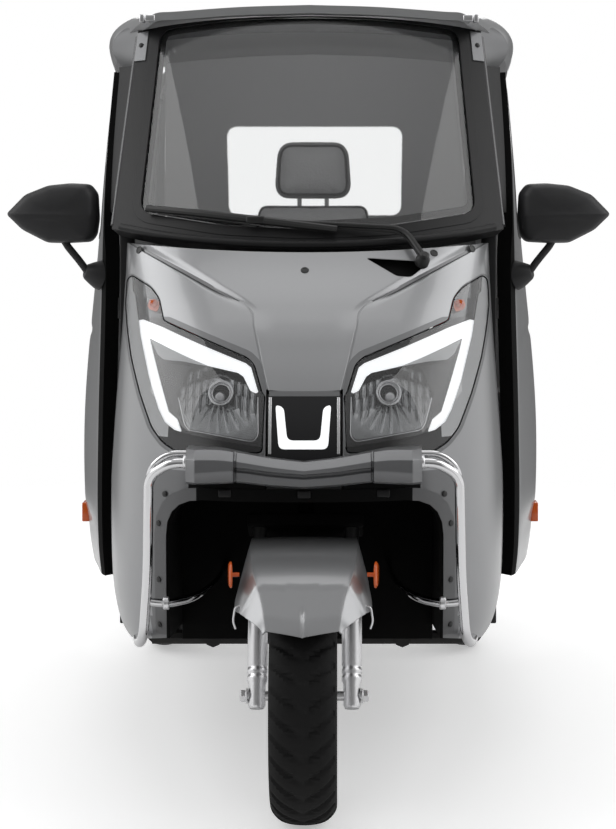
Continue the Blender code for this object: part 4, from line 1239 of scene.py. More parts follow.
@dataclass
class Headlamps:
    """Headlamps: rim band, bezel, running light, bowl, bulb, turn lamp and cover."""

    rim: Corners = (
        (0.364, 1.033), (0.378, 1.023), (0.380, 0.972), (0.370, 0.924), (0.355, 0.869), (0.330, 0.804),
        (0.300, 0.740), (0.276, 0.714), (0.247, 0.699), (0.219, 0.694), (0.078, 0.703), (0.074, 0.807),
        (0.080, 0.815), (0.096, 0.865), (0.111, 0.879), (0.275, 0.942), (0.284, 0.946), (0.297, 0.989),
        (0.317, 1.010),
    )
    band: Corners = (
        (0.366, 1.050), (0.359, 0.999), (0.353, 0.993), (0.340, 0.939), (0.334, 0.912), (0.309, 0.835),
        (0.285, 0.776), (0.271, 0.753), (0.251, 0.740), (0.208, 0.731), (0.060, 0.711), (0.050, 0.830),
        (0.090, 0.900), (0.260, 0.970), (0.290, 1.030),
    )
    running: Corners = (
        (0.340, 0.941), (0.331, 0.943), (0.287, 0.930), (0.203, 0.898), (0.115, 0.866), (0.104, 0.858),
        (0.089, 0.814), (0.093, 0.812), (0.104, 0.817), (0.118, 0.842), (0.129, 0.849), (0.189, 0.861),
        (0.226, 0.874), (0.313, 0.908), (0.306, 0.885), (0.283, 0.823), (0.264, 0.772), (0.246, 0.759),
        (0.237, 0.738), (0.240, 0.736), (0.251, 0.740), (0.271, 0.753), (0.285, 0.776), (0.309, 0.835),
        (0.334, 0.912),
    )
    eyelid: Corners = (
        (0.310, 0.905), (0.294, 0.879), (0.280, 0.869), (0.238, 0.867), (0.189, 0.860), (0.126, 0.848),
        (0.189, 0.8625), (0.226, 0.8755),
    )
    bowl_edge: Corners = (
        (0.219, 0.860), (0.187, 0.860), (0.124, 0.845), (0.114, 0.834), (0.090, 0.809), (0.088, 0.737),
        (0.098, 0.726), (0.107, 0.726), (0.227, 0.743), (0.236, 0.754), (0.250, 0.803), (0.231, 0.846),
    )
    turn_lamp: Corners = (
        (0.361, 1.028), (0.339, 1.019), (0.304, 0.990), (0.291, 0.955), (0.292, 0.947), (0.338, 0.948),
        (0.351, 0.999),
    )
    bulb: tuple[float, float] = (0.164, 0.815)
    flange: Corners = (
        (0.366, 1.037), (0.3830, 1.026), (0.3850, 0.972), (0.3755, 0.922), (0.3605, 0.867), (0.336, 0.801),
        (0.306, 0.736), (0.281, 0.709), (0.250, 0.692), (0.219, 0.687), (0.0745, 0.697), (0.0735, 0.807),
        (0.0735, 0.822), (0.086, 0.872), (0.105, 0.8895), (0.274, 0.952), (0.287, 0.951), (0.2985, 0.990),
        (0.318, 1.0125),
    )
    glint: Corners = (
        (0.299, 0.981), (0.320, 0.984), (0.324, 0.970), (0.318, 0.963), (0.302, 0.959), (0.298, 0.968),
    )
    amber: tuple[float, float] = (0.309, 0.976)
    heights: tuple[float, float] = (0.680, 1.050)
    inner: float = 0.055
    fineness: int = 72
    reach: tuple[float, float] = (-0.2, 0.40)
    spare: float = 0.02

    def outline(self, by: float, side: Side = Side.LEFT) -> list[Vector]:
        """The lamp's outline in the front view, moved inward by a distance."""
        return inset(rounded(flipped(self.rim, side), 0.010, 5), by)

    def layer(self, name: str, side: Side, finish: Finish, outline: Outline, depth: float, wall: float,
              holes: Sequence[Outline] = (), stands_for: tuple[str, ...] = ()) -> Piece:
        """One layer of the lamp, not built yet: a patch of the nose surface in an outline.

        Args:
            name: The piece's name without its side.
            side: The side it is for.
            finish: Its finish.
            outline: Its outline in the left lamp's front view.
            depth: How far it lies under the surface.
            wall: Its thickness.
            holes: Outlines that are cut out.
            stands_for: CAD nodes that it replaces.

        Returns:
            The piece.
        """
        low, high = self.heights
        sheet = Nose.patch(low, high, self.inner, depth, self.fineness, self.fineness)
        piece = side.piece(name, sheet, finish, wall=wall, stands_for=stands_for)
        start, end = self.reach
        piece.keep(Form().prism(flipped(outline, side), start, end))
        for hole in holes:
            piece.cut(Form().prism(flipped(hole, side), start - self.spare, end + self.spare))
        return piece

    def bowl(self, side: Side) -> None:
        """The reflector: a cup with thin upright and level ribs, and a fan of ribs under the bulb.

        Args:
            side: The side it is for.
        """
        middle = Vector(self.bulb)

        def crest(at: float) -> float:
            """The height of a rib across its width, 1 at the top."""
            return abs(2 * (at % 1.0) - 1) ** 3

        def place(u: float, v: float) -> Vector:
            """A point of the bowl, with its ribs.

            Args:
                u: The share of the sheet's first way.
                v: The share of its second way.

            Returns:
                The point.
            """
            x, z = 0.072 + 0.190 * u, 0.712 + 0.168 * v
            apart = Vector((x, z)) - middle
            reach = min(math.hypot(apart.x / 0.090, apart.y / 0.085), 1.0)
            rib = 0.0045 * crest(x / 0.0135) + 0.0030 * crest((z + 0.3 * abs(apart.x)) / 0.024)
            if apart.y < -0.016 and abs(apart.x) < -apart.y * 0.9:
                rib = 0.0045 * crest(math.atan2(apart.x, -apart.y) / 0.26)
            if apart.length < 0.026:
                rib = 0.0
            front = Nose.point(x, z)
            deep = 0.0195 + 0.022 * (1 - reach**2) - rib * (1 - step(0.85, 1.0, reach))
            return front + Vector((0.0, deep / max(-Nose.normal(front).y, 0.5), 0.0))

        side.piece("lamp_bowl", Form().sheet(place, 160, 110), REFLECTOR, wall=0.002).build()
        corners = [(x, z, 0.0) for x, z in self.bowl_edge[4:11]]
        rim = [Nose.point(p.x, p.y, 0.0092) for p in bend(corners, 0.010, 5)]
        side.piece("bowl_rim", Form().tube(rim, 0.0010, 8), CHROME).build()

    def lights(self, side: Side) -> None:
        """The bulb in its ring, and the lit turn lamp.

        Args:
            side: The side they are for.
        """
        x, z = self.bulb
        front = Nose.point(x, z)
        way = -(Nose.normal(front) + Vector((0.0, -1.0, 0.0))).normalized()
        spot = front + way * 0.018
        ring = [(0.0022 * math.cos(a), 0.0228 + 0.0022 * math.sin(a)) for a in
                [2 * math.pi * k / 12 for k in range(12)]]
        hoops = Form().lathe(ring, spot, way, 40, ring=True)
        hoops.lathe([(a + 0.004, r - 0.0045) for a, r in ring], spot, way, 40, ring=True)
        side.piece("bulb_ring", hoops, CHROME).build()
        dark = Form().lathe(((0.006, 0.0), (0.006, 0.0205), (0.024, 0.0205), (0.024, 0.0)), spot, way, 32)
        side.piece("bulb_shade", dark, GLOSS_BLACK).build()
        cap = Form().lathe(((-0.006, 0.0), (-0.005, 0.007), (-0.001, 0.010), (0.008, 0.011), (0.008, 0.0)),
                           spot + Vector((0.002, 0.0, -0.007)), way, 24)
        side.piece("bulb_cap", cap, ALLOY).build()
        x, z = self.amber
        glow = Form().lathe(((-0.006, 0.0), (-0.004, 0.006), (0.002, 0.009), (0.006, 0.008), (0.006, 0.0)),
                            Nose.point(x, z) + Vector((0.0, 0.010, 0.0)), (0, 1, 0), 20)
        side.piece("turn_bulb", glow, AMBER_LIT).build()
        self.layer("turn_glint", side, AMBER_LIT, rounded(self.glint, 0.003, 4), 0.0120, 0.003).build()

    def build(self) -> None:
        """Both lamps with all their layers."""
        lamp = self.outline(0.0026)
        for side in Side:
            self.layer("lamp_flange", side, FLANGE_AND_PAINTED_SHADE, rounded(self.flange, 0.010, 5), -0.0006, 0.004,
                       holes=(self.outline(0.0),)).build()
            self.rim_band(side, lamp)
            self.layer("lamp_bezel", side, GLOSS_BLACK, lamp, 0.0130, 0.003,
                       holes=(rounded(self.bowl_edge, 0.008), self.turn_lamp),
                       stands_for=(f"headlamp_{side.word}",)).build()
            self.layer("running_light", side, GLOW, self.running, 0.0045, 0.008).build()
            self.layer("lamp_eyelid", side, MILK, self.eyelid, 0.0048, 0.003).build()
            self.layer("turn_back", side, PRISM_LENS, inset(self.turn_lamp, -0.002), 0.0170, 0.002).build()
            self.layer("lamp_cover", side, LENS, inset(lamp, 0.0005), 0.0010, 0.0022).build()
            self.bowl(side)
            self.lights(side)

    def rim_band(self, side: Side, lamp: Outline) -> None:
        """The satin band round the lamp, with painted shade in gloss black over its inner part and along its
        foot.
        """
        band = self.layer("lamp_rim", side, BAND, lamp, 0.0012, 0.010, (self.band,))
        band.accent(GLOSS_BLACK, lambda spot, normal: abs(spot.x) < 0.262 or spot.z < 0.728).build()


@dataclass
class Underbody:
    """Floor with sills, posts and knuckles, toe board, wheel well and splash skirt."""

    base: float = 0.2814
    tuck: float = 0.042

    def edge(self, s: float) -> float:
        """Half the floor's width at a distance behind the front axle."""
        return Flank.point(s, 0.30).x - 0.018 - self.tuck * (1 - step(1.0, 1.22, s))

    def floor(self) -> None:
        """The floor sheet with what stands on it."""
        marks = [0.440 + 0.7905 * k / 24 for k in range(25)]
        out = [(self.edge(s), s) for s in marks]
        plan = out + [(-x, s) for x, s in reversed(out)]
        form = Form().prism(plan, self.base, self.base + 0.008, "Z")
        for sign in (-1, 1):
            sill = [(sign * x, s) for x, s in out] + [(sign * (x - 0.030), s) for x, s in reversed(out)]
            form.prism(sill, self.base - 0.001, 0.374, "Z")
            form.block(*sorted_corners((sign * 0.3704, 0.4326, 0.2844), (sign * 0.4024, 0.4495, 1.1376)),
                       0.003)
            for z in (0.500, 0.950):
                form.rod((sign * 0.402, 0.458, z - 0.015), (sign * 0.402, 0.458, z + 0.015), 0.0075, 24)
        for k in range(7):
            form.block((-0.30, 0.56 + 0.045 * k, 0.2890), (0.30, 0.575 + 0.045 * k, 0.2915), 0.0008)
        Piece("floor_pan", form, BLACK, stands_for=("floor_tub",)).build()
        s_at, z_at = Curve.even((0.452, 0.442, 0.438, 0.452)), Curve.even((0.2859, 0.45, 0.62, 0.78))
        board = Form().sheet(lambda u, v: Vector((0.367 * (2 * u - 1), s_at(v), z_at(v))), 20, 40)
        Piece("toe_board", board, BLACK, wall=0.006).build()

    def well(self, arch: list[Vector]) -> None:
        """The liner round the front wheel with its back wall, and the skirt behind it.

        Args:
            arch: The wheel opening's outline.
        """
        hoop = [p for p in arch if p.y > 0.2]
        path = [Vector((hoop[0].x, 0.30)), *hoop, Vector((hoop[-1].x, 0.30))]
        last = len(path) - 1

        def place(u: float, v: float) -> Vector:
            """A point of the liner.

            Args:
                u: The share of the sheet's first way.
                v: The share of its second way.

            Returns:
                The point.
            """
            spot = path[round(u * last)]
            foot = 0.338 - 0.034 * v
            return Vector((spot.x, 0.038 + 0.305 * v, max(spot.y, foot)))

        liner = Piece("wheel_well", Form().sheet(place, last, 24), DEEP_BLACK, wall=0.006,
                      inside=Vector((0.0, 0.2, 0.45)))
        liner.build()
        wall = [(p.x, p.y) for p in hoop] + [(hoop[-1].x, 0.302), (hoop[0].x, 0.302)]
        back = Piece("well_back", Form().prism(wall, 0.343, 0.350), DEEP_BLACK, stands_for=("arch_liner",))
        back.cut(Form().rod(steering_point(0.50), steering_point(0.75), 0.045, 32)).build()
        skirt = Form().block((-0.262, 0.3515, 0.269), (0.262, 0.3575, 0.345), 0.002)
        Piece("splash_skirt", skirt, DEEP_BLACK).build()


@dataclass
class Guards:
    """Bumper beam, crash bars, lower hoops and clamps."""

    half: float = 0.221

    def beam(self) -> None:
        """The beam: a ridge that dips in the middle, and a block at each end."""
        xs = (0.0, 0.060, 0.122, 0.160, 0.221)
        top = Curve(xs, (0.690, 0.697, 0.708, 0.714, 0.714))
        ridge = Curve(xs, (0.676, 0.683, 0.693, 0.697, 0.697))
        under = Curve(xs, (0.654, 0.659, 0.667, 0.666, 0.662))
        lip = Curve(xs, (0.642, 0.646, 0.653, 0.652, 0.650))

        def place(u: float, v: float) -> Vector:
            """A point of the beam's skin, round its section along v.

            Args:
                u: The share of the sheet's first way.
                v: The share of its second way.

            Returns:
                The point.
            """
            x = self.half * (2 * u - 1)
            far = abs(x)
            solid = 1.0 if far > 0.1300 else 0.0
            front = -0.0925 - 0.0070 * solid + 0.020 * max(0.0, (far - 0.203) / 0.018)
            if 0.1262 < far < 0.1300:
                front += 0.008
            rear = min(Nose.point(x, z).y for z in (0.64, 0.68, 0.71)) - 0.0004
            z = (top(far), ridge(far), under(far), lip(far))
            dent = 0.009 * (1.0 - solid)
            ring = (
                (rear, z[0]), (front + 0.024, z[0]), (front + 0.022, z[0] - 0.0015),
                (front + 0.0015, z[1] + 0.0015),
                (front, z[1]), (front + 0.0005, z[2] + 0.016), (front + dent, z[2] + 0.013),
                (front + dent, z[2] + 0.009), (front + 0.001, z[2] + 0.006), (front + 0.002, z[3] + 0.005),
                (front + 0.012, z[3]), (rear, z[3]),
            )
            k = round(v * len(ring)) % len(ring)
            return Vector((x, ring[k][0], ring[k][1]))

        bar = Form().sheet(lambda u, v: place(v, u), 12, 286, closed=True, capped=True)
        Piece("beam", bar, DARK_PAINT, stands_for=("bumper_beam",)).build()
        clips = Form()
        for x in (-0.15, 0.0, 0.15):
            spot = Nose.point(x, 0.628)
            clips.block((x - 0.012, spot.y - 0.006, 0.620), (x + 0.012, spot.y - 0.0004, 0.634), 0.002)
        Piece("beam_clips", clips, BLACK).build()

    def bars(self) -> None:
        """Bright bars with their hoops and clamps."""
        for side in Side:
            path = ((0.2134, -0.060, 0.688), (0.250, -0.060, 0.688), (0.293, -0.045, 0.662),
                    (0.298, -0.010, 0.470),
                    (0.307, 0.000, 0.350), (0.320, 0.050, 0.325), (0.330, 0.112, 0.322))
            bar = Form().tube(bend(path, 0.045, 10), 0.0096, 20)
            hoop = ((0.304, -0.004, 0.418), (0.264, 0.004, 0.411), (0.215, 0.060, 0.411),
                    (0.185, 0.130, 0.424), (0.172, 0.200, 0.430), (0.170, 0.3418, 0.430))
            bar.tube(bend(hoop, 0.05, 10), lambda v: 0.0082 - 0.0025 * step(0.35, 0.6, v), 16)
            upper = ((0.2134, -0.050, 0.7045), (0.258, -0.050, 0.7045), (0.292, -0.044, 0.676),
                     (0.2955, -0.030, 0.600))
            bar.tube(bend(upper, 0.030, 10), 0.0062, 16)
            side.piece("guard", bar, CHROME, stands_for=(f"crash_bar_{side.word}",)).build()
            clamp = Form()
            for x, s, z in ((0.2205, -0.060, 0.690), (0.2640, 0.006, 0.412)):
                clamp.lathe(((-0.006, 0.0), (-0.006, 0.011), (-0.004, 0.0125), (0.004, 0.0125),
                             (0.006, 0.011), (0.006, 0.0)), (x, s, z), (1, 0.0, 0.0), 20)
            side.piece("guard_clamp", clamp, ALLOY).build()

    def build(self) -> None:
        """Beam and bars."""
        self.beam()
        self.bars()


@dataclass
class Windscreen:
    """Screen frame with cowl, pane, printed border, shade band and wiper."""

    wall: float = 0.030

    def build(self) -> None:
        """All of the windscreen."""
        frame = Piece("screen_frame", Screen.form(), BLACK, stands_for=("windscreen_frame",), wall=self.wall)
        frame.cut(Form().prism(Screen.outline(), 0.1, 0.8)).build()
        pane = Piece("screen_glass", Screen.form(0.004), GLASS, stands_for=("windscreen",), wall=0.005)
        pane.keep(Form().prism(Screen.outline(0.0008), 0.1, 0.8)).build()
        frit = Piece("screen_border", Screen.form(0.0096), BLACK, wall=0.0006)
        frit.keep(Form().prism(Screen.outline(0.001), 0.1, 0.8)).cut(Form().prism(Screen.outline(0.016), 0.0,
                                                                                  0.9))
        frit.build()
        strip = Form().sheet(lambda u, v: Screen.point(2 * u - 1, 0.938 + 0.06 * v, 0.0100), 40, 6)
        band = Piece("shade_band", strip, SHADE, wall=0.0008)
        band.keep(Form().prism(Screen.outline(0.0012), 0.0, 0.9)).build()
        self.trim()
        self.dots()
        self.wiper()

    def trim(self) -> None:
        """Gloss border round the pane, cowl lip, and on each side a bead, a cap and a post to the door."""
        border = Piece("screen_gloss", Screen.form(-0.0010), BLACK, wall=0.0030)
        border.keep(Form().prism(Screen.outline(-0.020), 0.0, 0.9)).cut(Form().prism(Screen.outline(0.0),
                                                                                     -0.1, 1.0))
        border.build()
        low = [Screen.point(0.95 * (k / 30 - 1), 0.016, -0.001) for k in range(61)]
        Piece("cowl_lip", Form().tube(low, 0.0085, 14), BLACK).build()
        leading = Doors().front

        def post(u: float, v: float) -> Vector:
            """A point of the post between pillar and door.

            Args:
                u: The share of the sheet's first way.
                v: The share of its second way.

            Returns:
                The point.
            """
            z = 1.17 + 0.33 * v
            share = (z - Screen.EDGE[0].y) / (Screen.EDGE[1].y - Screen.EDGE[0].y)
            front = Screen.point(1.0, share, 0.012)
            rear = Flank.point(leading(z) - 0.014, z, 0.012)
            return front.lerp(Vector((rear.x, rear.y, front.z)), u)

        for side in Side:
            edge = [Screen.point(1.0, 0.02 + 0.95 * k / 30, 0.004) for k in range(31)]
            side.piece("pillar_bead", Form().tube(edge, 0.0058, 12), PILLAR_EDGE).build()
            cap = Form().sheet(lambda u, v: Screen.point(0.932 + 0.066 * u, 0.835 + 0.15 * v, -0.0025), 8, 24)
            side.piece("pillar_cap", cap, DARK_PAINT, wall=0.004).build()
            spot = Screen.point(0.966, 0.915, -0.0026)
            screw = Form().lathe(((0.0, 0.0), (0.0, 0.0062), (0.002, 0.0055), (0.003, 0.003), (0.003, 0.0)),
                                 spot, (0.2, -0.8, 0.5), 6)
            side.piece("pillar_screw", screw, BLACK_METAL).build()
            side.piece("pillar_post", Form().sheet(post, 10, 30), BLACK, wall=0.004).build()

    def dots(self) -> None:
        """Rows of dots along the inner edge of the printed border."""
        dots = Form()
        for side in Side:
            for row, inward in enumerate((0.019, 0.023)):
                for k in range(64):
                    v = 0.13 + 0.80 * (k + 0.5 * row) / 64
                    spot = Screen.point(side.value * Screen.SHARE, v, 0.0098)
                    spot.x -= side.value * inward
                    dots.lathe(((0.0, 0.0), (0.0, 0.0014 - 0.0004 * row), (0.0005, 0.0)), spot,
                               (0, -0.8, 0.5), 6)
        Piece("screen_dots", dots, TRIM_GREY).build()

    def wiper(self) -> None:
        """Blade, arm, parallel rod and pivot cap."""
        lift = Vector((0.0, -0.021, -0.006))
        path = [Screen.point(u, v) + lift for u, v in
                ((-0.82, 0.135), (-0.55, 0.140), (-0.25, 0.125), (0.0, 0.105), (0.15, 0.090))]
        pivot = Nose.point(0.234, 1.058)
        out = Nose.normal(pivot)
        elbow = Screen.point(0.48, 0.05) + Vector((0.0, -0.028, 0.010))
        hook = path[2] + Vector((0.0, -0.004, 0.0))
        form = Form().tube(bend(path, 0.05, 6), lambda v: 0.0078 + 0.0012 * math.sin(math.pi * v), 10)
        form.tube(bend([pivot + out * 0.020, elbow, hook], 0.03, 8), lambda v: 0.0070 - 0.002 * v, 12)
        shift = Vector((0.0, -0.004, -0.010))
        form.tube(bend([pivot + out * 0.016 + shift, elbow + shift, hook + shift * 0.2], 0.03, 8), 0.0018, 8)
        form.block(hook - Vector((0.022, 0.006, 0.007)), hook + Vector((0.016, 0.005, 0.008)), 0.003)
        form.lathe(((0.0006, 0.0), (0.0006, 0.015), (0.014, 0.0145), (0.020, 0.011), (0.027, 0.010),
                    (0.030, 0.006), (0.030, 0.0)), pivot, out, 28)
        Piece("wiper_arm", form, BLACK_METAL, stands_for=("wiper",)).build()


@dataclass
class Roof:
    """The roof shell with its front lip, brackets, and the lining under it."""

    rows: tuple[tuple[float, ...], ...] = (
        (0.568, 1.623, 0.300, 1.608, 0.352, 1.599, 0.362, 1.591),
        (0.680, 1.634, 0.340, 1.616, 0.402, 1.596, 0.410, 1.570),
        (0.820, 1.643, 0.390, 1.628, 0.465, 1.580, 0.455, 1.520),
        (1.000, 1.6485, 0.420, 1.630, 0.490, 1.565, 0.474, 1.498),
        (1.250, 1.6485, 0.420, 1.628, 0.488, 1.563, 0.472, 1.494),
        (1.420, 1.638, 0.405, 1.610, 0.468, 1.556, 0.456, 1.496),
        (1.500, 1.612, 0.385, 1.588, 0.438, 1.548, 0.432, 1.504),
    )
    wall: float = 0.018
    ear_x: Curve = Curve.even((0.392, 0.432, 0.452, 0.456, 0.446, 0.425))

    def point(self, u: float, v: float) -> Vector:
        """The roof's outer surface, u from hem to hem and v from front to rear.

        Args:
            u: The share across.
            v: The share from front to rear.

        Returns:
            The point.
        """
        s = self.rows[0][0] + (self.rows[-1][0] - self.rows[0][0]) * v
        table = columns(self.rows)
        crown, fx, fz, ex, ez, hx, hz = (Curve(table[0], table[k])(s) for k in range(1, 8))
        xs = (0.0, fx / 2, fx, (fx + ex) / 2 + 0.006, ex, hx)
        zs = (crown, crown - (crown - fz) * 0.3, fz, (fz + ez) / 2 + min(0.010, (fz - ez) * 0.3), ez, hz)
        t = abs(2 * u - 1)
        marks = (0.0, 0.30, 0.62, 0.74, 0.86, 1.0)
        x, z = Curve(marks, xs)(t), Curve(marks, zs)(t)
        return Vector((math.copysign(x, 2 * u - 1), s, z))

    def build(self) -> None:
        """Shell, lip and lining."""
        shell = Piece("roof_shell", Form().sheet(self.point, 84, 60), PAINT, stands_for=("roof",),
                      wall=self.wall, inside=CABIN)
        shell.accent(LINING, lambda spot, normal: normal.z < -0.3 and spot.y > 0.6)
        # The shell's faces that turn forward, along its front lip, take the lighter lamp band finish as a
        # painted highlight.
        shell.accent(BAND, lambda spot, normal: normal.y < -0.5 and spot.y < 0.60)
        shell.build()

        def ear(u: float, v: float) -> Vector:
            """A point of the ear that closes the roof's front corner."""
            inner = Vector((0.386, 0.650 - 0.02 * v, 1.602 - 0.104 * v))
            return inner.lerp(Vector((self.ear_x(v), 0.70 + 0.09 * v, 1.602 - 0.108 * v)), u)

        for side in Side:
            # The ear takes the darker silver paint as painted shade on silver like the roof's.
            side.piece("roof_ear", Form().sheet(ear, 20, 30), DARK_PAINT, wall=0.004, inside=CABIN).build()
            bracket = Form().block((0.340, 0.556, 1.586), (0.362, 0.585, 1.600), 0.002)
            bracket.block((0.364, 0.560, 1.584), (0.374, 0.585, 1.602), 0.002)
            side.piece("roof_bracket", bracket, ALLOY).build()
        bolts = Form()
        for sign in (-1, 1):
            for s, x, z in ((0.590, 0.343, 1.6035), (0.700, 0.395, 1.6025)):
                bolts.lathe(((-0.002, 0.0), (-0.002, 0.006), (0.001, 0.0055), (0.002, 0.003), (0.002, 0.0)),
                            (sign * x, s, z), (sign * 0.2, -0.3, 0.9), 14)
        Piece("roof_bolts", bolts, ALLOY).build()


@dataclass
class Doors:
    """Doors with panes, seals, handles, side markers and mirrors."""

    wall: float = 0.032
    bottom: float = 0.380
    top: float = 1.484
    rear: float = 1.225
    front: Curve = Curve((0.380, 0.700, 1.060, 1.200, 1.340, 1.484),
                         (0.470, 0.470, 0.470, 0.520, 0.595, 0.680))
    window: Corners = ((0.585, 1.120), (1.165, 1.120), (1.165, 1.445), (0.745, 1.445))

    def surface(self, depth: float = 0.0, styled: bool = True) -> Form:
        """The left door's outer skin as a sheet.

        Args:
            depth: How far it lies under the skin.
            styled: Whether it shows the pressed lines.

        Returns:
            The sheet.
        """

        def place(u: float, v: float) -> Vector:
            """A point of the door's skin.

            Args:
                u: The share of the sheet's first way.
                v: The share of its second way.

            Returns:
                The point.
            """
            z = self.bottom + (self.top - self.bottom) * v
            front = self.front(z)
            s = front + (self.rear - front) * u
            crease = 0.0
            if styled:
                line = 0.885 + 0.05 * (s - 0.5)
                crease = 0.004 * math.exp(-(((z - line) / 0.012) ** 2)) * step(0.50, 0.60, s) * step(1.225,
                    1.14, s)
                crease += 0.006 * step(0.52, 0.46, z) * step(0.47, 0.62, s)
            return Flank.point(s, z, depth + crease)

        return Form().sheet(place, 64, 110)

    def build(self) -> None:
        """Both doors and their fittings."""
        outline = rounded(self.window, 0.05, 8)
        for side in Side:
            body = f"door_{side.word}"
            door = side.piece("door_skin", self.surface(), PAINT, body, (body,), self.wall)
            door.accent(LINING, lambda spot, normal, k=side.value: normal.x * k < -0.4)
            # The door's front edge column is the deepest matte black: dark trim, deepened by painted shade.
            door.accent(DEEP_BLACK, lambda spot, normal: spot.y < self.front(spot.z) + 0.024)
            door.cut(self.opening(side, outline)).build()
            pane = side.piece("door_pane", self.surface(0.012, False), SIDE_GLASS, body,
                              (f"door_glass_{side.word}",), 0.005)
            pane.keep(self.opening(side, inset(outline, 0.0008))).build()
            seal = side.piece("window_seal", self.surface(-0.0010, False), BLACK, body, (), 0.003)
            seal.keep(self.opening(side, inset(outline, -0.014)))
            seal.cut(self.opening(side, inset(outline, -0.0005), 0.01)).build()
            self.handle(side, body)
            self.mirror(side, body)
            self.hinges(side)

    @staticmethod
    def opening(side: Side, outline: Outline, spare: float = 0.0) -> Form:
        """A cutter through one door, longer at both ends by a spare length."""
        return Form().prism(outline, side.value * (0.30 - spare), side.value * (0.62 + spare), "X")

    def handle(self, side: Side, body: str) -> None:
        """A pull handle with its lock, and a small marker lamp near the front.

        Args:
            side: The side it is for.
            body: The door's body.
        """
        grip = Form()
        path = [Flank.point(s, 0.985, d) for s, d in
                ((1.060, -0.0015), (1.072, -0.0145), (1.130, -0.0165), (1.178, -0.0145), (1.190, -0.0015))]
        grip.tube(bend(path, 0.012, 6), 0.0075, 14)
        lock = Flank.point(1.165, 0.930)
        grip.lathe(((0.0, 0.0), (0.0, 0.012), (0.003, 0.0115), (0.004, 0.008), (0.004, 0.0)), lock,
                   (1, 0, 0), 24)
        side.piece("door_handle", grip, CHROME, body).build()
        lamp = Form().block(Flank.point(0.730, 0.457) - Vector((0.006, 0, 0)),
                            Flank.point(0.775, 0.500) + Vector((0.0025, 0.0, 0.0)), 0.002)
        side.piece("side_marker", lamp, AMBER, body).build()

    def hinges(self, side: Side) -> None:
        """Hinge brackets on the door post.

        Args:
            side: The side they are for.
        """
        form = Form()
        for z in (0.512, 0.962):
            form.block((0.392, 0.4500, z - 0.010), (0.408, 0.4515, z + 0.018), 0.0005)
        form.block((0.372, 0.4520, 1.060), (0.388, 0.4560, 1.100), 0.001)
        side.piece("hinge_bracket", form, BLACK_METAL).build()

    def mirror(self, side: Side, body: str) -> None:
        """A mirror with a creased shell, its glass, stem and cone foot.

        Args:
            side: The side it is for.
            body: The door's body.
        """
        outline = rounded(((0.653, 1.160), (0.612, 1.202), (0.562, 1.222), (0.513, 1.227), (0.472, 1.225),
                           (0.456, 1.205), (0.453, 1.150), (0.458, 1.115), (0.470, 1.100), (0.520, 1.097),
                           (0.563, 1.098), (0.618, 1.126)), 0.008, 4)
        middle = Vector((0.545, 1.162))
        depth = Curve((0.0, 0.10, 0.25, 0.45, 0.75, 1.0), (0.4325, 0.4335, 0.438, 0.447, 0.470, 0.502))
        share = Curve((0.0, 0.10, 0.25, 0.45, 0.75, 1.0), (0.02, 0.30, 0.62, 0.88, 0.99, 1.0))
        count = len(outline)

        def place(u: float, v: float) -> Vector:
            """A point of the mirror's shell.

            Args:
                u: The share of the sheet's first way.
                v: The share of its second way.

            Returns:
                The point.
            """
            corner = Vector(outline[round(u * count) % count])
            spot = middle + (corner - middle) * share(v)
            crease = 0.005 * (1 - step(0.0, 0.012, abs(spot.y - (1.155 + 0.12 * (0.60 - spot.x) ** 2))))
            return Vector((spot.x, depth(v) - crease * (1 - v) * 0.6, spot.y))

        shell = Form().sheet(place, count, 28, closed=True, capped=True)
        stem = ((0.528, 0.478, 1.104), (0.520, 0.478, 1.090), (0.494, 0.482, 1.058), (0.478, 0.489, 1.034))
        shell.tube(bend(stem, 0.02, 6), 0.0080, 14)
        foot = Vector((0.484, 0.486, 1.036)) - Vector((0.4490, 0.5005, 1.027))
        base = Vector((0.4490, 0.5005, 1.027))
        length = foot.length
        shell.lathe(((0.0, 0.0), (0.0, 0.033), (0.010, 0.031), (length * 0.6, 0.024),
                     (length - 0.003, 0.0165), (length, 0.013), (length, 0.0)), base, foot, 32)
        side.piece("mirror_shell", shell, MIRROR_BLACK, body, (f"mirror_{side.word}",)).build()
        glass = Form().prism(inset(outline, 0.008), 0.5023, 0.5040)
        side.piece("mirror_glass", glass, CHROME, body).build()


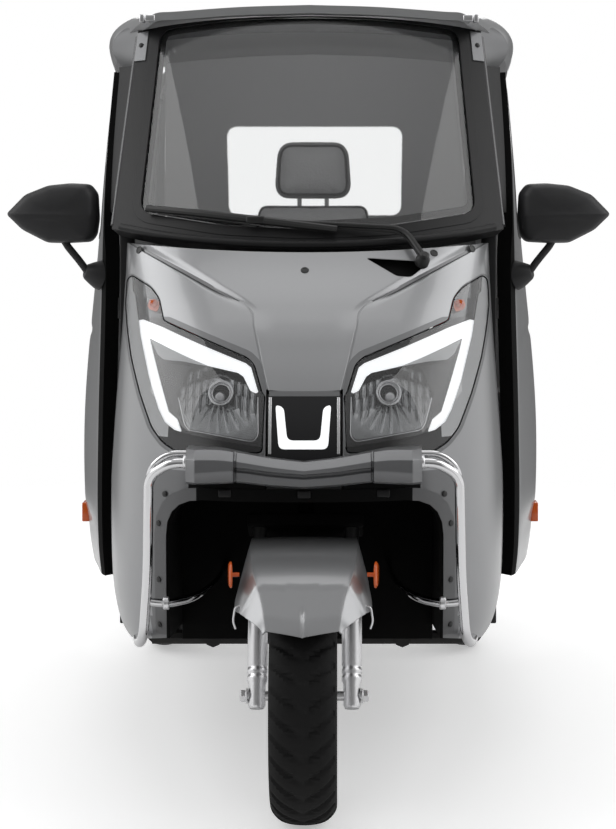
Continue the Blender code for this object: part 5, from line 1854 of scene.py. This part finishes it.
@dataclass
class Rear:
    """Quarters, rear window, boot lid, lamps and rear panel."""

    rows: tuple[tuple[float, ...], ...] = (
        (1.233, 1.486, 0.425, 1.500), (1.320, 1.486, 0.420, 1.500), (1.420, 1.486, 0.412, 1.500),
        (1.5008, 1.482, 0.404, 1.498), (1.508, 1.488, 0.402, 1.555), (1.530, 1.460, 0.404, 1.505),
        (1.570, 1.335, 0.409, 1.380), (1.610, 1.210, 0.414, 1.253), (1.645, 1.112, 0.416, 1.142),
        (1.668, 1.088, 0.400, 1.108), (1.690, 1.078, 0.345, 1.094), (1.800, 1.062, 0.341, 1.082),
        (1.900, 1.030, 0.341, 1.056), (1.9628, 0.985, 0.341, 1.010),
    )
    window_half: Curve = Curve.even((0.4035, 0.4045, 0.4075, 0.4115, 0.4155, 0.3990))
    lid: Corners = (
        (1.690, 1.100), (1.800, 1.088), (1.900, 1.062), (1.960, 1.015), (1.992, 0.940), (2.004, 0.800),
        (2.006, 0.652),
    )
    arch_radius: float = 0.285

    def quarter(self, side: Side) -> None:
        """A rear quarter with its wheel arch and the black lip round it.

        Args:
            side: The side it is for.
        """
        marks, tops, inner_x, inner_z = columns(self.rows)

        def place(u: float, v: float) -> Vector:
            """A point of the quarter, its top turned in over the shoulder.

            Args:
                u: The share of the sheet's first way.
                v: The share of its second way.

            Returns:
                The point.
            """
            share = u * (len(marks) - 1)
            k = min(int(share), len(marks) - 2)
            t = share - k
            s, top, far, high = (row[k] + (row[k + 1] - row[k]) * t for row in (marks, tops, inner_x,
                                                                                inner_z))
            if v <= 0.85:
                return Flank.point(s, 0.330 + (top - 0.330) * v / 0.85)
            edge = Flank.point(s, top).x
            t = (v - 0.85) / 0.15
            x = edge + (far - edge) * (1 - (1 - t) ** 1.3) if t < 1 else far
            return Vector((x, s, top + (high - top) * math.sin(t * math.pi / 2) ** 0.8))

        skin = side.piece("quarter_skin", Form().sheet(place, 91, 80), PAINT,
                          stands_for=(f"quarter_{side.word}",), wall=0.024)
        skin.accent(LINING, lambda spot, normal, k=side.value: normal.x * k < -0.5 and spot.z > 0.7)
        low, high = 0.30 * side.value, 0.60 * side.value

        def round_arch(end: float, radius: float) -> Form:
            """A round cutter on the rear axle's line."""
            return Form().rod((low, WHEELBASE, WHEEL_RADIUS), (end, WHEELBASE, WHEEL_RADIUS), radius, 64)

        skin.cut(round_arch(high, self.arch_radius)).build()
        patch = Form().sheet(lambda u, v: Flank.point(1.235 + 0.63 * u, 0.331 + 0.23 * v, -0.0008), 70, 40)
        lip = side.piece("arch_lip", patch, BLACK, wall=0.004)
        lip.keep(round_arch(high, 0.303)).cut(round_arch(high * 1.1, self.arch_radius + 0.0002)).build()

    def window(self) -> None:
        """The rear window frame, seal and pane."""
        roof = Roof()

        def place(u: float, v: float, depth: float = 0.0) -> Vector:
            """A point of the window frame, bent in along its foot.

            Args:
                u: The share of the sheet's first way.
                v: The share of its second way.
                depth: How far it lies under the surface.

            Returns:
                The point.
            """
            across = 2 * u - 1
            if v <= 0.9:
                t = v / 0.9
                half = self.window_half(t)
                sag = (roof.point(0.5, 1.0).z - self._roof_height(roof, half * abs(across))) * (1 - t)
                s, z = 1.5006 + 0.1674 * t, 1.605 - 0.493 * t - sag
                bow = 0.012 * across**2 * t
                return Vector((half * across, s - bow - depth * 0.95, z - depth * 0.32))
            t = (v - 0.9) / 0.1
            half = self.window_half(1.0) - 0.0565 * t
            return Vector((half * across, 1.668 + 0.017 * t - 0.012 * across**2, 1.112 - 0.008 * t))

        outline = rounded(((-0.239, 1.167), (0.239, 1.167), (0.239, 1.409), (-0.239, 1.409)), 0.03, 8)
        frame = Piece("rear_frame", Form().sheet(place, 48, 60), PAINT, stands_for=("rear_window_frame",),
                      wall=0.020)
        frame.accent(LINING, lambda spot, normal: normal.y < -0.4)
        frame.cut(Form().prism(outline, 1.3, 1.9)).build()
        pane = Piece("rear_pane", Form().sheet(lambda u, v: place(u, v * 0.9, 0.006), 40, 40), GLASS,
                     stands_for=("rear_window",), wall=0.005)
        pane.keep(Form().prism(inset(outline, 0.0008), 1.3, 1.9)).build()
        seal = Piece("rear_seal", Form().sheet(lambda u, v: place(u, v * 0.9, -0.001), 40, 50), BLACK,
                     wall=0.003)
        seal.keep(Form().prism(inset(outline, -0.014), 1.3, 1.9)).cut(Form().prism(inset(outline, -0.0005),
                                                                                   1.2, 2.0))
        seal.build()

    @staticmethod
    def _roof_height(roof: Roof, x: float) -> float:
        """Height of the roof's rear edge at a distance from the middle.

        Args:
            roof: The roof.
            x: The distance from the middle.

        Returns:
            The height.
        """
        low, high = 0.5, 0.93
        for _ in range(20):
            middle = (low + high) / 2
            low, high = (middle, high) if roof.point(middle, 1.0).x < x else (low, middle)
        return roof.point(low, 1.0).z

    def boot(self) -> None:
        """The boot lid with its handle."""
        length = [0.0]
        for a, b in zip(self.lid, self.lid[1:]):
            length.append(length[-1] + math.dist(a, b))
        s_at = Curve(length, [p[0] for p in self.lid])
        z_at = Curve(length, [p[1] for p in self.lid])

        def place(u: float, v: float) -> Vector:
            """A point of the lid, with the pressed field round its plate.

            Args:
                u: The share of the sheet's first way.
                v: The share of its second way.

            Returns:
                The point.
            """
            across = 2 * u - 1
            t = v * length[-1]
            sunk = 0.010 * step(0.30, 0.27, abs(across) * 0.335) * step(0.26, 0.24, abs(z_at(t) - 0.79) * 2.0)
            sunk *= step(1.98, 1.99, s_at(t))
            return Vector((0.335 * across, s_at(t) - sunk * 0.3, z_at(t) - 0.006 * across**2))

        lid = Piece("boot_skin", Form().sheet(place, 60, 90), PAINT, "boot_lid", ("boot_lid",), 0.014,
                    inside=Vector((0.0, 1.75, 0.75)))
        lid.build()
        grip = Form().tube(bend(((-0.055, 2.004, 0.700), (-0.055, 2.020, 0.700), (0.055, 2.020, 0.700),
                                 (0.055, 2.004, 0.700)), 0.012, 6), 0.007, 14)
        Piece("boot_handle", grip, CHROME, "boot_lid").build()

    def tail(self) -> None:
        """Tail lamps, rear panel, bumper and blank plate."""
        for side in Side:
            lens = Form().block((0.345, 1.9636, 0.655), (0.455, 2.004, 0.975), 0.012, 4)
            side.piece("tail_lens", lens, RED, stands_for=(f"tail_lamp_{side.word}",)).build()
            marks = Form()
            for low, high in ((0.700, 0.760), (0.770, 0.830)):
                marks.block((0.365, 2.0041, low), (0.435, 2.0058, high), 0.0005)
            side.piece("tail_inset", marks, MILK).build()
        panel = Form().sheet(lambda u, v: Vector((0.455 * (2 * u - 1), 2.006 - 0.030 * abs(2 * u - 1) ** 4,
                                                  0.360 + 0.284 * v)), 60, 30)
        Piece("rear_skin", panel, PAINT, stands_for=("rear_panel",), wall=0.014,
              inside=Vector((0.0, 1.75, 0.5))).build()
        bumper = Form().block((-0.34, 2.0066, 0.400), (0.34, 2.0325, 0.480), 0.010, 4)
        Piece("rear_bar", bumper, BLACK, stands_for=("rear_bumper",)).build()
        plate = Form().block((-0.11, 2.0064, 0.500), (0.11, 2.0085, 0.620), 0.0008)
        Piece("blank_plate", plate, MILK).build()

    def build(self) -> None:
        """All of the rear."""
        for side in Side:
            self.quarter(side)
        self.window()
        self.boot()
        self.tail()


@dataclass
class Wheel:
    """A wheel: tyre with a cut tread, cast rim and hub."""

    name: str
    body: str
    x: float
    s: float
    width: float
    node: str
    disc: bool = False
    rim_radius: float = 0.156
    pitches: int = 32
    groove: float = 0.0050

    def tyre(self) -> None:
        """The tyre, its chevron grooves cut into the tread."""
        w, outer, bead = self.width / 2, WHEEL_RADIUS - 0.0002, self.rim_radius + 0.0008
        ring = ((-w * 0.62, bead), (-w * 0.86, bead + 0.012), (-w, bead + 0.036), (-w * 0.95, outer - 0.024),
                (-w * 0.62, outer - 0.006), (0.0, outer), (w * 0.62, outer - 0.006),
                (w * 0.95, outer - 0.024), (w, bead + 0.036), (w * 0.86, bead + 0.012), (w * 0.62, bead))
        x_at, r_at = Curve.even([p[0] for p in ring]), Curve.even([p[1] for p in ring])

        def place(u: float, v: float) -> Vector:
            """A point of the tyre, with its grooves.

            Args:
                u: The share of the sheet's first way.
                v: The share of its second way.

            Returns:
                The point.
            """
            share = min(v / 0.94, 1.0)
            if v > 0.94:
                x, radius = w * 0.62 * (1 - 2 * (v - 0.94) / 0.06), bead
            else:
                x, radius = x_at(share), r_at(share)
            turn = 2 * math.pi * u
            if 0.27 < share < 0.73:
                phase = (u * self.pitches + 1.1 * abs(x) / w) % 1.0
                groove = 1 - step(0.10, 0.17, abs(phase - 0.5))
                groove *= step(0.08, 0.14, abs(x) / w) * (1 - step(0.88, 0.96, abs(x) / w))
                line = 1 - step(0.02, 0.04, abs(x) / w)
                radius -= self.groove * max(groove, line * 0.7)
            return Vector((x, radius * math.cos(turn), radius * math.sin(turn)))

        form = Form().sheet(lambda u, v: place(v, u), 44, 480)
        bmesh.ops.remove_doubles(form.bm, verts=form.bm.verts, dist=1e-5)
        bmesh.ops.translate(form.bm, vec=(self.x, self.s, WHEEL_RADIUS), verts=form.bm.verts)
        Piece(f"{self.name}_rubber", form, TYRE, self.body, (f"{self.node}_tyre",)).build()

    def rim(self) -> None:
        """The rim with its spokes and hub, and a brake disc where there is one."""
        b, edge = self.width * 0.36, self.rim_radius
        form = Form()
        centre = (self.x, self.s, WHEEL_RADIUS)
        form.lathe(((-b, edge), (-b, edge - 0.008), (-b + 0.006, edge - 0.013), (-0.012, edge - 0.024),
                    (0.012, edge - 0.024), (b - 0.006, edge - 0.013), (b, edge - 0.008), (b, edge)), centre,
                   (1, 0, 0), 72, ring=True)
        form.lathe(((-0.030, 0.0095), (-0.030, 0.026), (-0.024, 0.032), (0.024, 0.032), (0.030, 0.026),
                    (0.030, 0.0095)), centre, (1, 0, 0), 48, ring=True)
        spoke = Form()
        for lean in (-0.20, 0.20):
            root, tip = Vector((0.0, lean * 0.05, 0.026)), Vector((0.0, lean * 0.18, edge - 0.018))
            path = [root.lerp(tip, k / 6) for k in range(7)]
            spoke.tube(path, lambda v: 0.0085 - 0.002 * math.sin(math.pi * v), 12)
        for k in range(5):
            turn = Matrix.Translation(centre) @ Matrix.Rotation(2 * math.pi * k / 5, 4, "X")
            form.add(spoke, turn)
        if self.disc:
            form.lathe(((0.0475, 0.060), (0.0475, 0.1048), (0.0508, 0.1048), (0.0508, 0.060)), centre,
                       (1, 0, 0), 72, ring=True)
            form.lathe(((0.028, 0.010), (0.028, 0.034), (0.0475, 0.070), (0.0500, 0.070), (0.0500, 0.010)),
                       centre, (1, 0, 0), 24, ring=True)
        Piece(f"{self.name}_cast", form, ALLOY, self.body, (f"{self.node}_rim",)).build()

    def build(self) -> None:
        """Tyre and rim."""
        self.tyre()
        self.rim()
        LOG.info("%s done", self.name)


@dataclass
class Steering:
    """Fork, front fender and handlebar."""

    crown_z: float = 0.530
    fork_x: float = 0.0907
    crease: float = -35.0
    fender: tuple[tuple[float, ...], ...] = (
        (-53.0, 0.292, 0.066, 0.010, 0.0655), (-40.0, 0.294, 0.104, 0.045, 0.0760),
        (-27.0, 0.296, 0.126, 0.080, 0.0930),
        (-10.0, 0.300, 0.122, 0.075, 0.1010), (10.0, 0.300, 0.117, 0.065, 0.0990),
        (35.0, 0.296, 0.108, 0.050, 0.0900), (62.0, 0.290, 0.090, 0.035, 0.0740),
    )

    def fork(self) -> None:
        """Fork with ringed lower legs, bolts and stem."""
        reach = AXIS_OFFSET * math.cos(RAKE)
        form = Form()
        crown = Form().block((-0.115, -reach - 0.020, -0.014), (0.115, 0.026, 0.014), 0.006)
        lean = Matrix.Translation(steering_point(self.crown_z)) @ Matrix.Rotation(-RAKE, 4, "X")
        form.add(crown, lean)
        form.rod(steering_point(self.crown_z), steering_point(0.905), 0.016)
        for side in Side:
            foot = Vector((side.value * self.fork_x, 0.0, WHEEL_RADIUS))
            top = steering_point(self.crown_z, side.value * self.fork_x, reach)
            way = (top - foot).normalized()
            form.lathe(((-0.024, 0.0), (-0.024, 0.013), (-0.018, 0.0165), (0.022, 0.0165), (0.030, 0.0195),
                        (0.036, 0.0195), (0.038, 0.0182), (0.042, 0.0182), (0.044, 0.0195), (0.050, 0.0195),
                        (0.052, 0.0182), (0.056, 0.0182), (0.058, 0.0195), (0.196, 0.0195), (0.200, 0.0205),
                        (0.222, 0.0205), (0.225, 0.0165), (0.225, 0.0)), foot, way, 36)
            form.rod(foot + way * 0.21, top + way * 0.012, 0.0145, 28)
        form.rod((-0.118, 0.0, WHEEL_RADIUS), (0.118, 0.0, WHEEL_RADIUS), 0.0088, 24)
        for sign in (-1, 1):
            form.lathe(((0.1085, 0.0), (0.1085, 0.016), (0.111, 0.016), (0.112, 0.0125), (0.121, 0.0125),
                        (0.1235, 0.0095), (0.1235, 0.0)), (0.0, 0.0, WHEEL_RADIUS), (sign, 0, 0), 6)
        legs = Piece("fork_legs", form, ALLOY, "steering", ("fork",))
        legs.accent(BLACK_METAL, lambda spot, normal: spot.z > 0.455)
        # Above 0.50 m the crown and stem are the deepest matte black as painted shade under the body.
        legs.accent(DEEP_BLACK, lambda spot, normal: spot.z > 0.50)
        legs.build()

    def guard(self) -> None:
        """The fender with its ridges, break line, lip, reflectors and wire hooks."""
        radius_at, half_at, drop_at, ridge_at = curves_of(self.fender)
        rear = self.fender[-1][0]

        def place(u: float, v: float) -> Vector:
            """A point of the fender.

            Args:
                u: The share of the sheet's first way.
                v: The share of its second way.

            Returns:
                The point.
            """
            across = 2 * u - 1
            inner, outer = min(abs(across) * 2, 1.0), max(abs(across) * 2 - 1.0, 0.0)
            lead = -55.5 + 2.8 * inner
            angle = lead + (rear - lead) * v
            ridge, half = ridge_at(angle), half_at(angle)
            x = ridge * inner + max(half - ridge, 0.006) * outer
            drop = 0.003 * inner**2 + (drop_at(angle) - 0.003) * outer**1.1
            radius = radius_at(angle) + 0.0012 * math.exp(-(((abs(across) - 0.5) / 0.012) ** 2))
            if angle < self.crease:
                middle = (self.crease + self.fender[0][0]) / 2
                bow = 1 - ((angle - middle) / (self.crease - middle)) ** 2
                radius -= 0.0016 + 0.0036 * max(bow, 0.0)
                radius -= 0.002 * math.exp(-((across / 0.02) ** 2)) * (1 - step(-47.0, -42.0, angle))
            radius -= 0.006 * max(0.0, 1 - v / 0.05)
            turn = math.radians(angle)
            return Vector((math.copysign(x, across), radius * math.sin(turn),
                           WHEEL_RADIUS + (radius - drop) * math.cos(turn)))

        skin = Piece("fender_skin", Form().sheet(place, 112, 96), PAINT, "steering", ("front_fender",), 0.003,
                     inside=Vector((0.0, 0.0, WHEEL_RADIUS)))
        skin.accent(DEEP_BLACK, lambda spot, normal: normal.dot(spot - Vector((0, 0, WHEEL_RADIUS))) < 0)
        skin.build()
        for side in Side:
            spot = Vector((0.1320, -0.125, 0.490))
            disc = Form().lathe(((-0.014, 0.0), (-0.014, 0.004), (0.0, 0.004), (0.0, 0.024), (0.003, 0.024),
                                 (0.0055, 0.020), (0.0055, 0.0)), spot, (0.99, -0.12, 0.0), 32)
            # The reflector takes the glowing amber finish: its glow is painted light, as a reflector is no
            # lamp.
            side.piece("fender_reflector", disc, AMBER, "steering").build()
            hook = ((0.112, -0.150, 0.438), (0.124, -0.154, 0.436), (0.128, -0.154, 0.410),
                    (0.123, -0.152, 0.396))
            side.piece("fender_hook", Form().tube(bend(hook, 0.008, 6), 0.002, 8), ALLOY, "steering").build()

    def handlebar(self) -> None:
        """The bar with grips and riser."""
        bar = ((-0.27, 0.565, 1.000), (-0.15, 0.535, 0.995), (-0.10, 0.480, 0.970), (0.0, 0.470, 0.965),
               (0.10, 0.480, 0.970), (0.15, 0.535, 0.995), (0.27, 0.565, 1.000))
        form = Form().tube(bend(bar, 0.03, 8), 0.0110, 18)
        riser = (steering_point(0.9054), steering_point(0.915), Vector((0.0, 0.425, 0.940)),
                 Vector((0.0, 0.468, 0.964)))
        form.tube(bend(riser, 0.02, 6), 0.0158, 18)
        for sign in (-1, 1):
            start, end = Vector((sign * 0.170, 0.540, 0.996)), Vector((sign * 0.268, 0.5645, 0.9999))
            way = end - start
            ribs = [(0.0, 0.0)]
            for k in range(14):
                at = way.length * k / 14
                ribs += [(at, 0.0122), (at + 0.004, 0.0122), (at + 0.0045, 0.0114), (at + 0.0065, 0.0114)]
            form.lathe([*ribs, (way.length, 0.0)], start, way, 24)
        Piece("bar", form, BLACK_METAL, "steering", ("handlebar",)).build()

    def build(self) -> None:
        """All that turns with the fork."""
        self.fork()
        self.guard()
        self.handlebar()


@dataclass
class Pad:
    """A soft pad: swollen by a cloth simulation, then sewn round its edge."""

    name: str
    node: str
    low: tuple[float, float, float]
    high: tuple[float, float, float]
    taper: float = 0.0
    lean: float = 0.0
    edge: float = 0.030
    cap: float = 0.008
    frames: int = 16

    def build(self) -> None:
        """Make the pad and its piping."""
        a, b = Vector(self.low), Vector(self.high)
        form = Form().block(a, b, self.edge, 4)
        bmesh.ops.subdivide_edges(form.bm, edges=form.bm.edges, cuts=1, use_grid_fill=True)
        for vert in form.bm.verts:
            up = (vert.co.z - a.z) / (b.z - a.z)
            vert.co.x *= 1 - self.taper * up
            vert.co.y += self.lean * up
        made = _link(self.name, form.mesh(self.name))
        shape = made.modifiers.new("remesh", "REMESH")
        shape.mode = "VOXEL"
        shape.voxel_size = 0.0065
        self._bake(made)
        self._swell(made)
        smooth = made.modifiers.new("smooth", "SUBSURF")
        smooth.levels = smooth.render_levels = 1
        self._bake(made)
        made.data.materials.clear()
        made.data.materials.append(VINYL.material())
        made.data.shade_smooth()
        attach(made, "body")
        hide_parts(self.node)
        LOG.info("%s: %d faces", self.name, len(made.data.polygons))
        self._pipe(made)

    def _pipe(self, made: bpy.types.Object) -> None:
        """A round piping sewn along the edge of the pad's upper or front face.

        Args:
            made: The finished pad.
        """
        a, b = Vector(self.low), Vector(self.high)
        lying = b.z - a.z < b.y - a.y
        far = (b.y, a.y) if lying else (b.z, a.z)
        corners = ((a.x, far[1]), (b.x, far[1]), (b.x, far[0]), (a.x, far[0]))
        path = []
        for x, other in [(p.x, p.y) for p in rounded(corners, 0.045, 8)]:
            up = 1.0 if lying else (other - a.z) / (b.z - a.z)
            x *= 1 - self.taper * up
            spot = Vector((x, other, b.z)) if lying else Vector((x, a.y + self.lean * up, other))
            _, near, normal, _ = made.closest_point_on_mesh(spot + Vector((0.0, FRONT_AXLE_Y, 0.0)))
            path.append(near + normal * 0.0008 - Vector((0.0, FRONT_AXLE_Y, 0.0)))
        Piece(f"{self.name}_piping", Form().tube([*path, path[0], path[1]], 0.0032, 10), BLACK).build()

    @staticmethod
    def _bake(made: bpy.types.Object) -> None:
        """Put the modifiers' result into the mesh.

        Args:
            made: The pad's object.
        """
        graph = bpy.context.evaluated_depsgraph_get()
        mesh = bpy.data.meshes.new_from_object(made.evaluated_get(graph))
        made.modifiers.clear()
        made.data = mesh

    def _swell(self, made: bpy.types.Object) -> None:
        """Swell the pad under pressure, with the movement capped.

        Args:
            made: The pad's object.
        """
        start = [v.co.copy() for v in made.data.vertices]
        cloth = made.modifiers.new("cloth", "CLOTH")
        cloth.settings.use_pressure = True
        cloth.settings.uniform_pressure_force = 4.0
        cloth.settings.effector_weights.gravity = 0.0
        scene = bpy.context.scene
        for frame in range(1, self.frames + 1):
            scene.frame_set(frame)
        graph = bpy.context.evaluated_depsgraph_get()
        moved = [v.co.copy() for v in made.evaluated_get(graph).data.vertices]
        made.modifiers.clear()
        scene.frame_set(1)
        for vert, first, last in zip(made.data.vertices, start, moved):
            way = last - first
            vert.co = first + (way if way.length < self.cap else way.normalized() * self.cap)


def build_seat() -> None:
    """Cushion, back and headrest with their seams."""
    Pad("seat_pad", "seat_cushion", (-0.232, 0.858, 0.606), (0.232, 1.242, 0.690)).build()
    Pad("back_pad", "seat_back", (-0.216, 1.180, 0.714), (0.216, 1.232, 1.196), 0.34, 0.048, 0.024).build()
    Pad("head_pad", "headrest", (-0.100, 1.208, 1.206), (0.100, 1.284, 1.351), 0.10, 0.0, 0.036,
        0.006).build()
    posts = Form()
    for x in (-0.035, 0.035):
        posts.rod((x, 1.250, 1.166), (x, 1.250, 1.222), 0.0058, 20)
    Piece("headrest_posts", posts, CHROME).build()


def dress_cad() -> None:
    """Give the CAD nodes that stay their materials."""
    looks = {
        "frame": CHASSIS, "rear_axle": CHASSIS, "battery": BLACK,
        "boot_tub": BLACK, "seat_base": BLACK, "dashboard": BLACK,
    }
    for name, finish in looks.items():
        for mark in bpy.data.objects[name].material_slots:
            mark.material = finish.material()


@dataclass
class Studio:
    """Floor, lights, world and camera."""

    place: tuple[float, float, float] = (0.064, -4.499, 1.12)
    focal: float = CAMERA_PIXELS * SENSOR / HEIGHT
    shift: tuple[float, float] = ((WIDTH / 2 - VANISHING[0]) / HEIGHT, (VANISHING[1] - HEIGHT / 2) / HEIGHT)
    lamps: tuple[tuple[str, tuple[float, float, float], float, float], ...] = (
        ("key", (-3.4, -1.0, 3.4), 3.2, 70.0), ("fill", (3.4, -1.0, 3.4), 3.2, 60.0),
        ("top", (0.0, 0.6, 4.8), 3.6, 42.0), ("rear", (0.0, 4.0, 2.6), 2.5, 30.0),
        ("cabin", (0.0, -0.20, 1.48), 0.4, 1.7),
    )

    def build(self) -> None:
        """Set the scene."""
        self.floor()
        self.world()
        for name, spot, size, power in self.lamps:
            light = bpy.data.lights.new(name, "AREA")
            light.size, light.energy = size, power
            lamp = bpy.data.objects.new(name, light)
            bpy.context.scene.collection.objects.link(lamp)
            lamp.location = spot
            lamp.visible_transmission = False
            aim = Vector((0.0, 0.62, 1.20)) if name == "cabin" else Vector((0.0, 0.0, 0.8))
            lamp.visible_glossy = name != "cabin"
            lamp.rotation_euler = (aim - lamp.location).to_track_quat("-Z", "Y").to_euler()
        data = bpy.data.cameras.new("camera")
        data.lens, data.sensor_width = self.focal, SENSOR
        data.shift_x, data.shift_y = self.shift
        camera = bpy.data.objects.new("camera", data)
        camera.location = self.place
        camera.rotation_euler = (math.pi / 2, 0.0, 0.0)
        bpy.context.scene.collection.objects.link(camera)
        bpy.context.scene.camera = camera
        bpy.context.scene.view_settings.view_transform = "Standard"

    @staticmethod
    def floor() -> None:
        """A pale round floor that fades out into the white background."""
        bm = bmesh.new()
        bmesh.ops.create_circle(bm, cap_ends=True, segments=96, radius=9.0)
        mesh = bpy.data.meshes.new("floor")
        bm.to_mesh(mesh)
        bm.free()
        look = Finish("studio_floor", (0.86, 0.86, 0.86), 0.9, "paint", variation=0.01, dust=0.0, relief=0.01,
                      edge=0.0, specular=0.1)
        made = look.material()
        net = Net(made.node_tree)
        shader = made.node_tree.nodes["Principled BSDF"]
        place = net.add("ShaderNodeTexCoord")
        reach = net.add("ShaderNodeVectorMath")
        reach.operation = "LENGTH"
        net.link(place, "Object", reach, 0)
        fade = net.ramp((reach, "Value"), 1.9, 4.2, 0.0, 1.0)
        ray = net.add("ShaderNodeLightPath")
        shader.inputs["Emission Color"].default_value = (1.0, 1.0, 1.0, 1.0)
        lift = net.math("MULTIPLY", (ray, "Is Camera Ray"), 0.42)
        net.link(lift, 0, shader, "Emission Strength")
        mix = net.add("ShaderNodeMixShader")
        net.link(fade, 0, mix, 0)
        net.link(shader, 0, mix, 1)
        net.link(net.add("ShaderNodeBsdfTransparent"), 0, mix, 2)
        net.link(mix, 0, made.node_tree.nodes["Material Output"], 0)
        mesh.materials.append(made)
        _link("floor", mesh)

    @staticmethod
    def world() -> None:
        """White where the camera, metal and glass look; softer as light."""
        world = bpy.data.worlds.new("studio")
        bpy.context.scene.world = world
        world.use_nodes = True
        net = Net(world.node_tree)
        soft = world.node_tree.nodes["Background"]
        soft.inputs[0].default_value = (1.0, 1.0, 1.0, 1.0)
        soft.inputs[1].default_value = 0.42
        ray = net.add("ShaderNodeLightPath")
        deep = net.math("GREATER_THAN", (ray, "Glossy Depth"), 0.5)
        through = net.math("SUBTRACT", (ray, "Is Transmission Ray"), (deep, 0))
        seen = net.math("MAXIMUM", (ray, "Is Camera Ray"), (through, 0))
        way = net.add("ShaderNodeTexCoord")
        apart = net.add("ShaderNodeSeparateXYZ")
        net.link(way, "Generated", apart, 0)
        above = net.ramp((apart, 2), 0.02, 0.80, 0.15, 0.54)
        aside = net.math("ABSOLUTE", (apart, 0), 0.0)
        sides = net.ramp((aside, 0), 0.40, 0.85, 0.0, 1.0)
        studio = net.math("MAXIMUM", (above, 0), (sides, 0))
        bright = net.math("MAXIMUM", (studio, 0), (seen, 0))
        white = net.add("ShaderNodeBackground")
        white.inputs[0].default_value = (1.0, 1.0, 1.0, 1.0)
        net.link(bright, 0, white, 1)
        metal = net.math("MAXIMUM", (deep, 0), (ray, "Is Glossy Ray"))
        glossy = net.math("MAXIMUM", (seen, 0), (metal, 0))
        mix = net.add("ShaderNodeMixShader")
        net.link(glossy, 0, mix, 0)
        net.link(soft, 0, mix, 1)
        net.link(white, 0, mix, 2)
        net.link(mix, 0, world.node_tree.nodes["World Output"], 0)


def main() -> None:
    """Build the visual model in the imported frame."""
    logging.basicConfig(level=logging.INFO, format="%(message)s")
    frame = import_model()
    LOG.info("frame loaded: %s", type(frame).__name__)
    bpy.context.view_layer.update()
    Studio().build()
    lamps = Headlamps()
    nose = NoseBody()
    nose.build(lamps)
    under = Underbody()
    under.floor()
    under.well(nose.arch(0.0006))
    lamps.build()
    Guards().build()
    Windscreen().build()
    Roof().build()
    Doors().build()
    Rear().build()
    Steering().build()
    Wheel("front", "front_wheel", 0.0, 0.0, 0.124, "front_wheel", True).build()
    for side in Side:
        node = f"rear_wheel_{side.word}"
        Wheel(f"rear_{side.word}", node, side.value * 0.405, WHEELBASE, 0.100, node).build()
    build_seat()
    dress_cad()


if __name__ == "__main__":
    main()
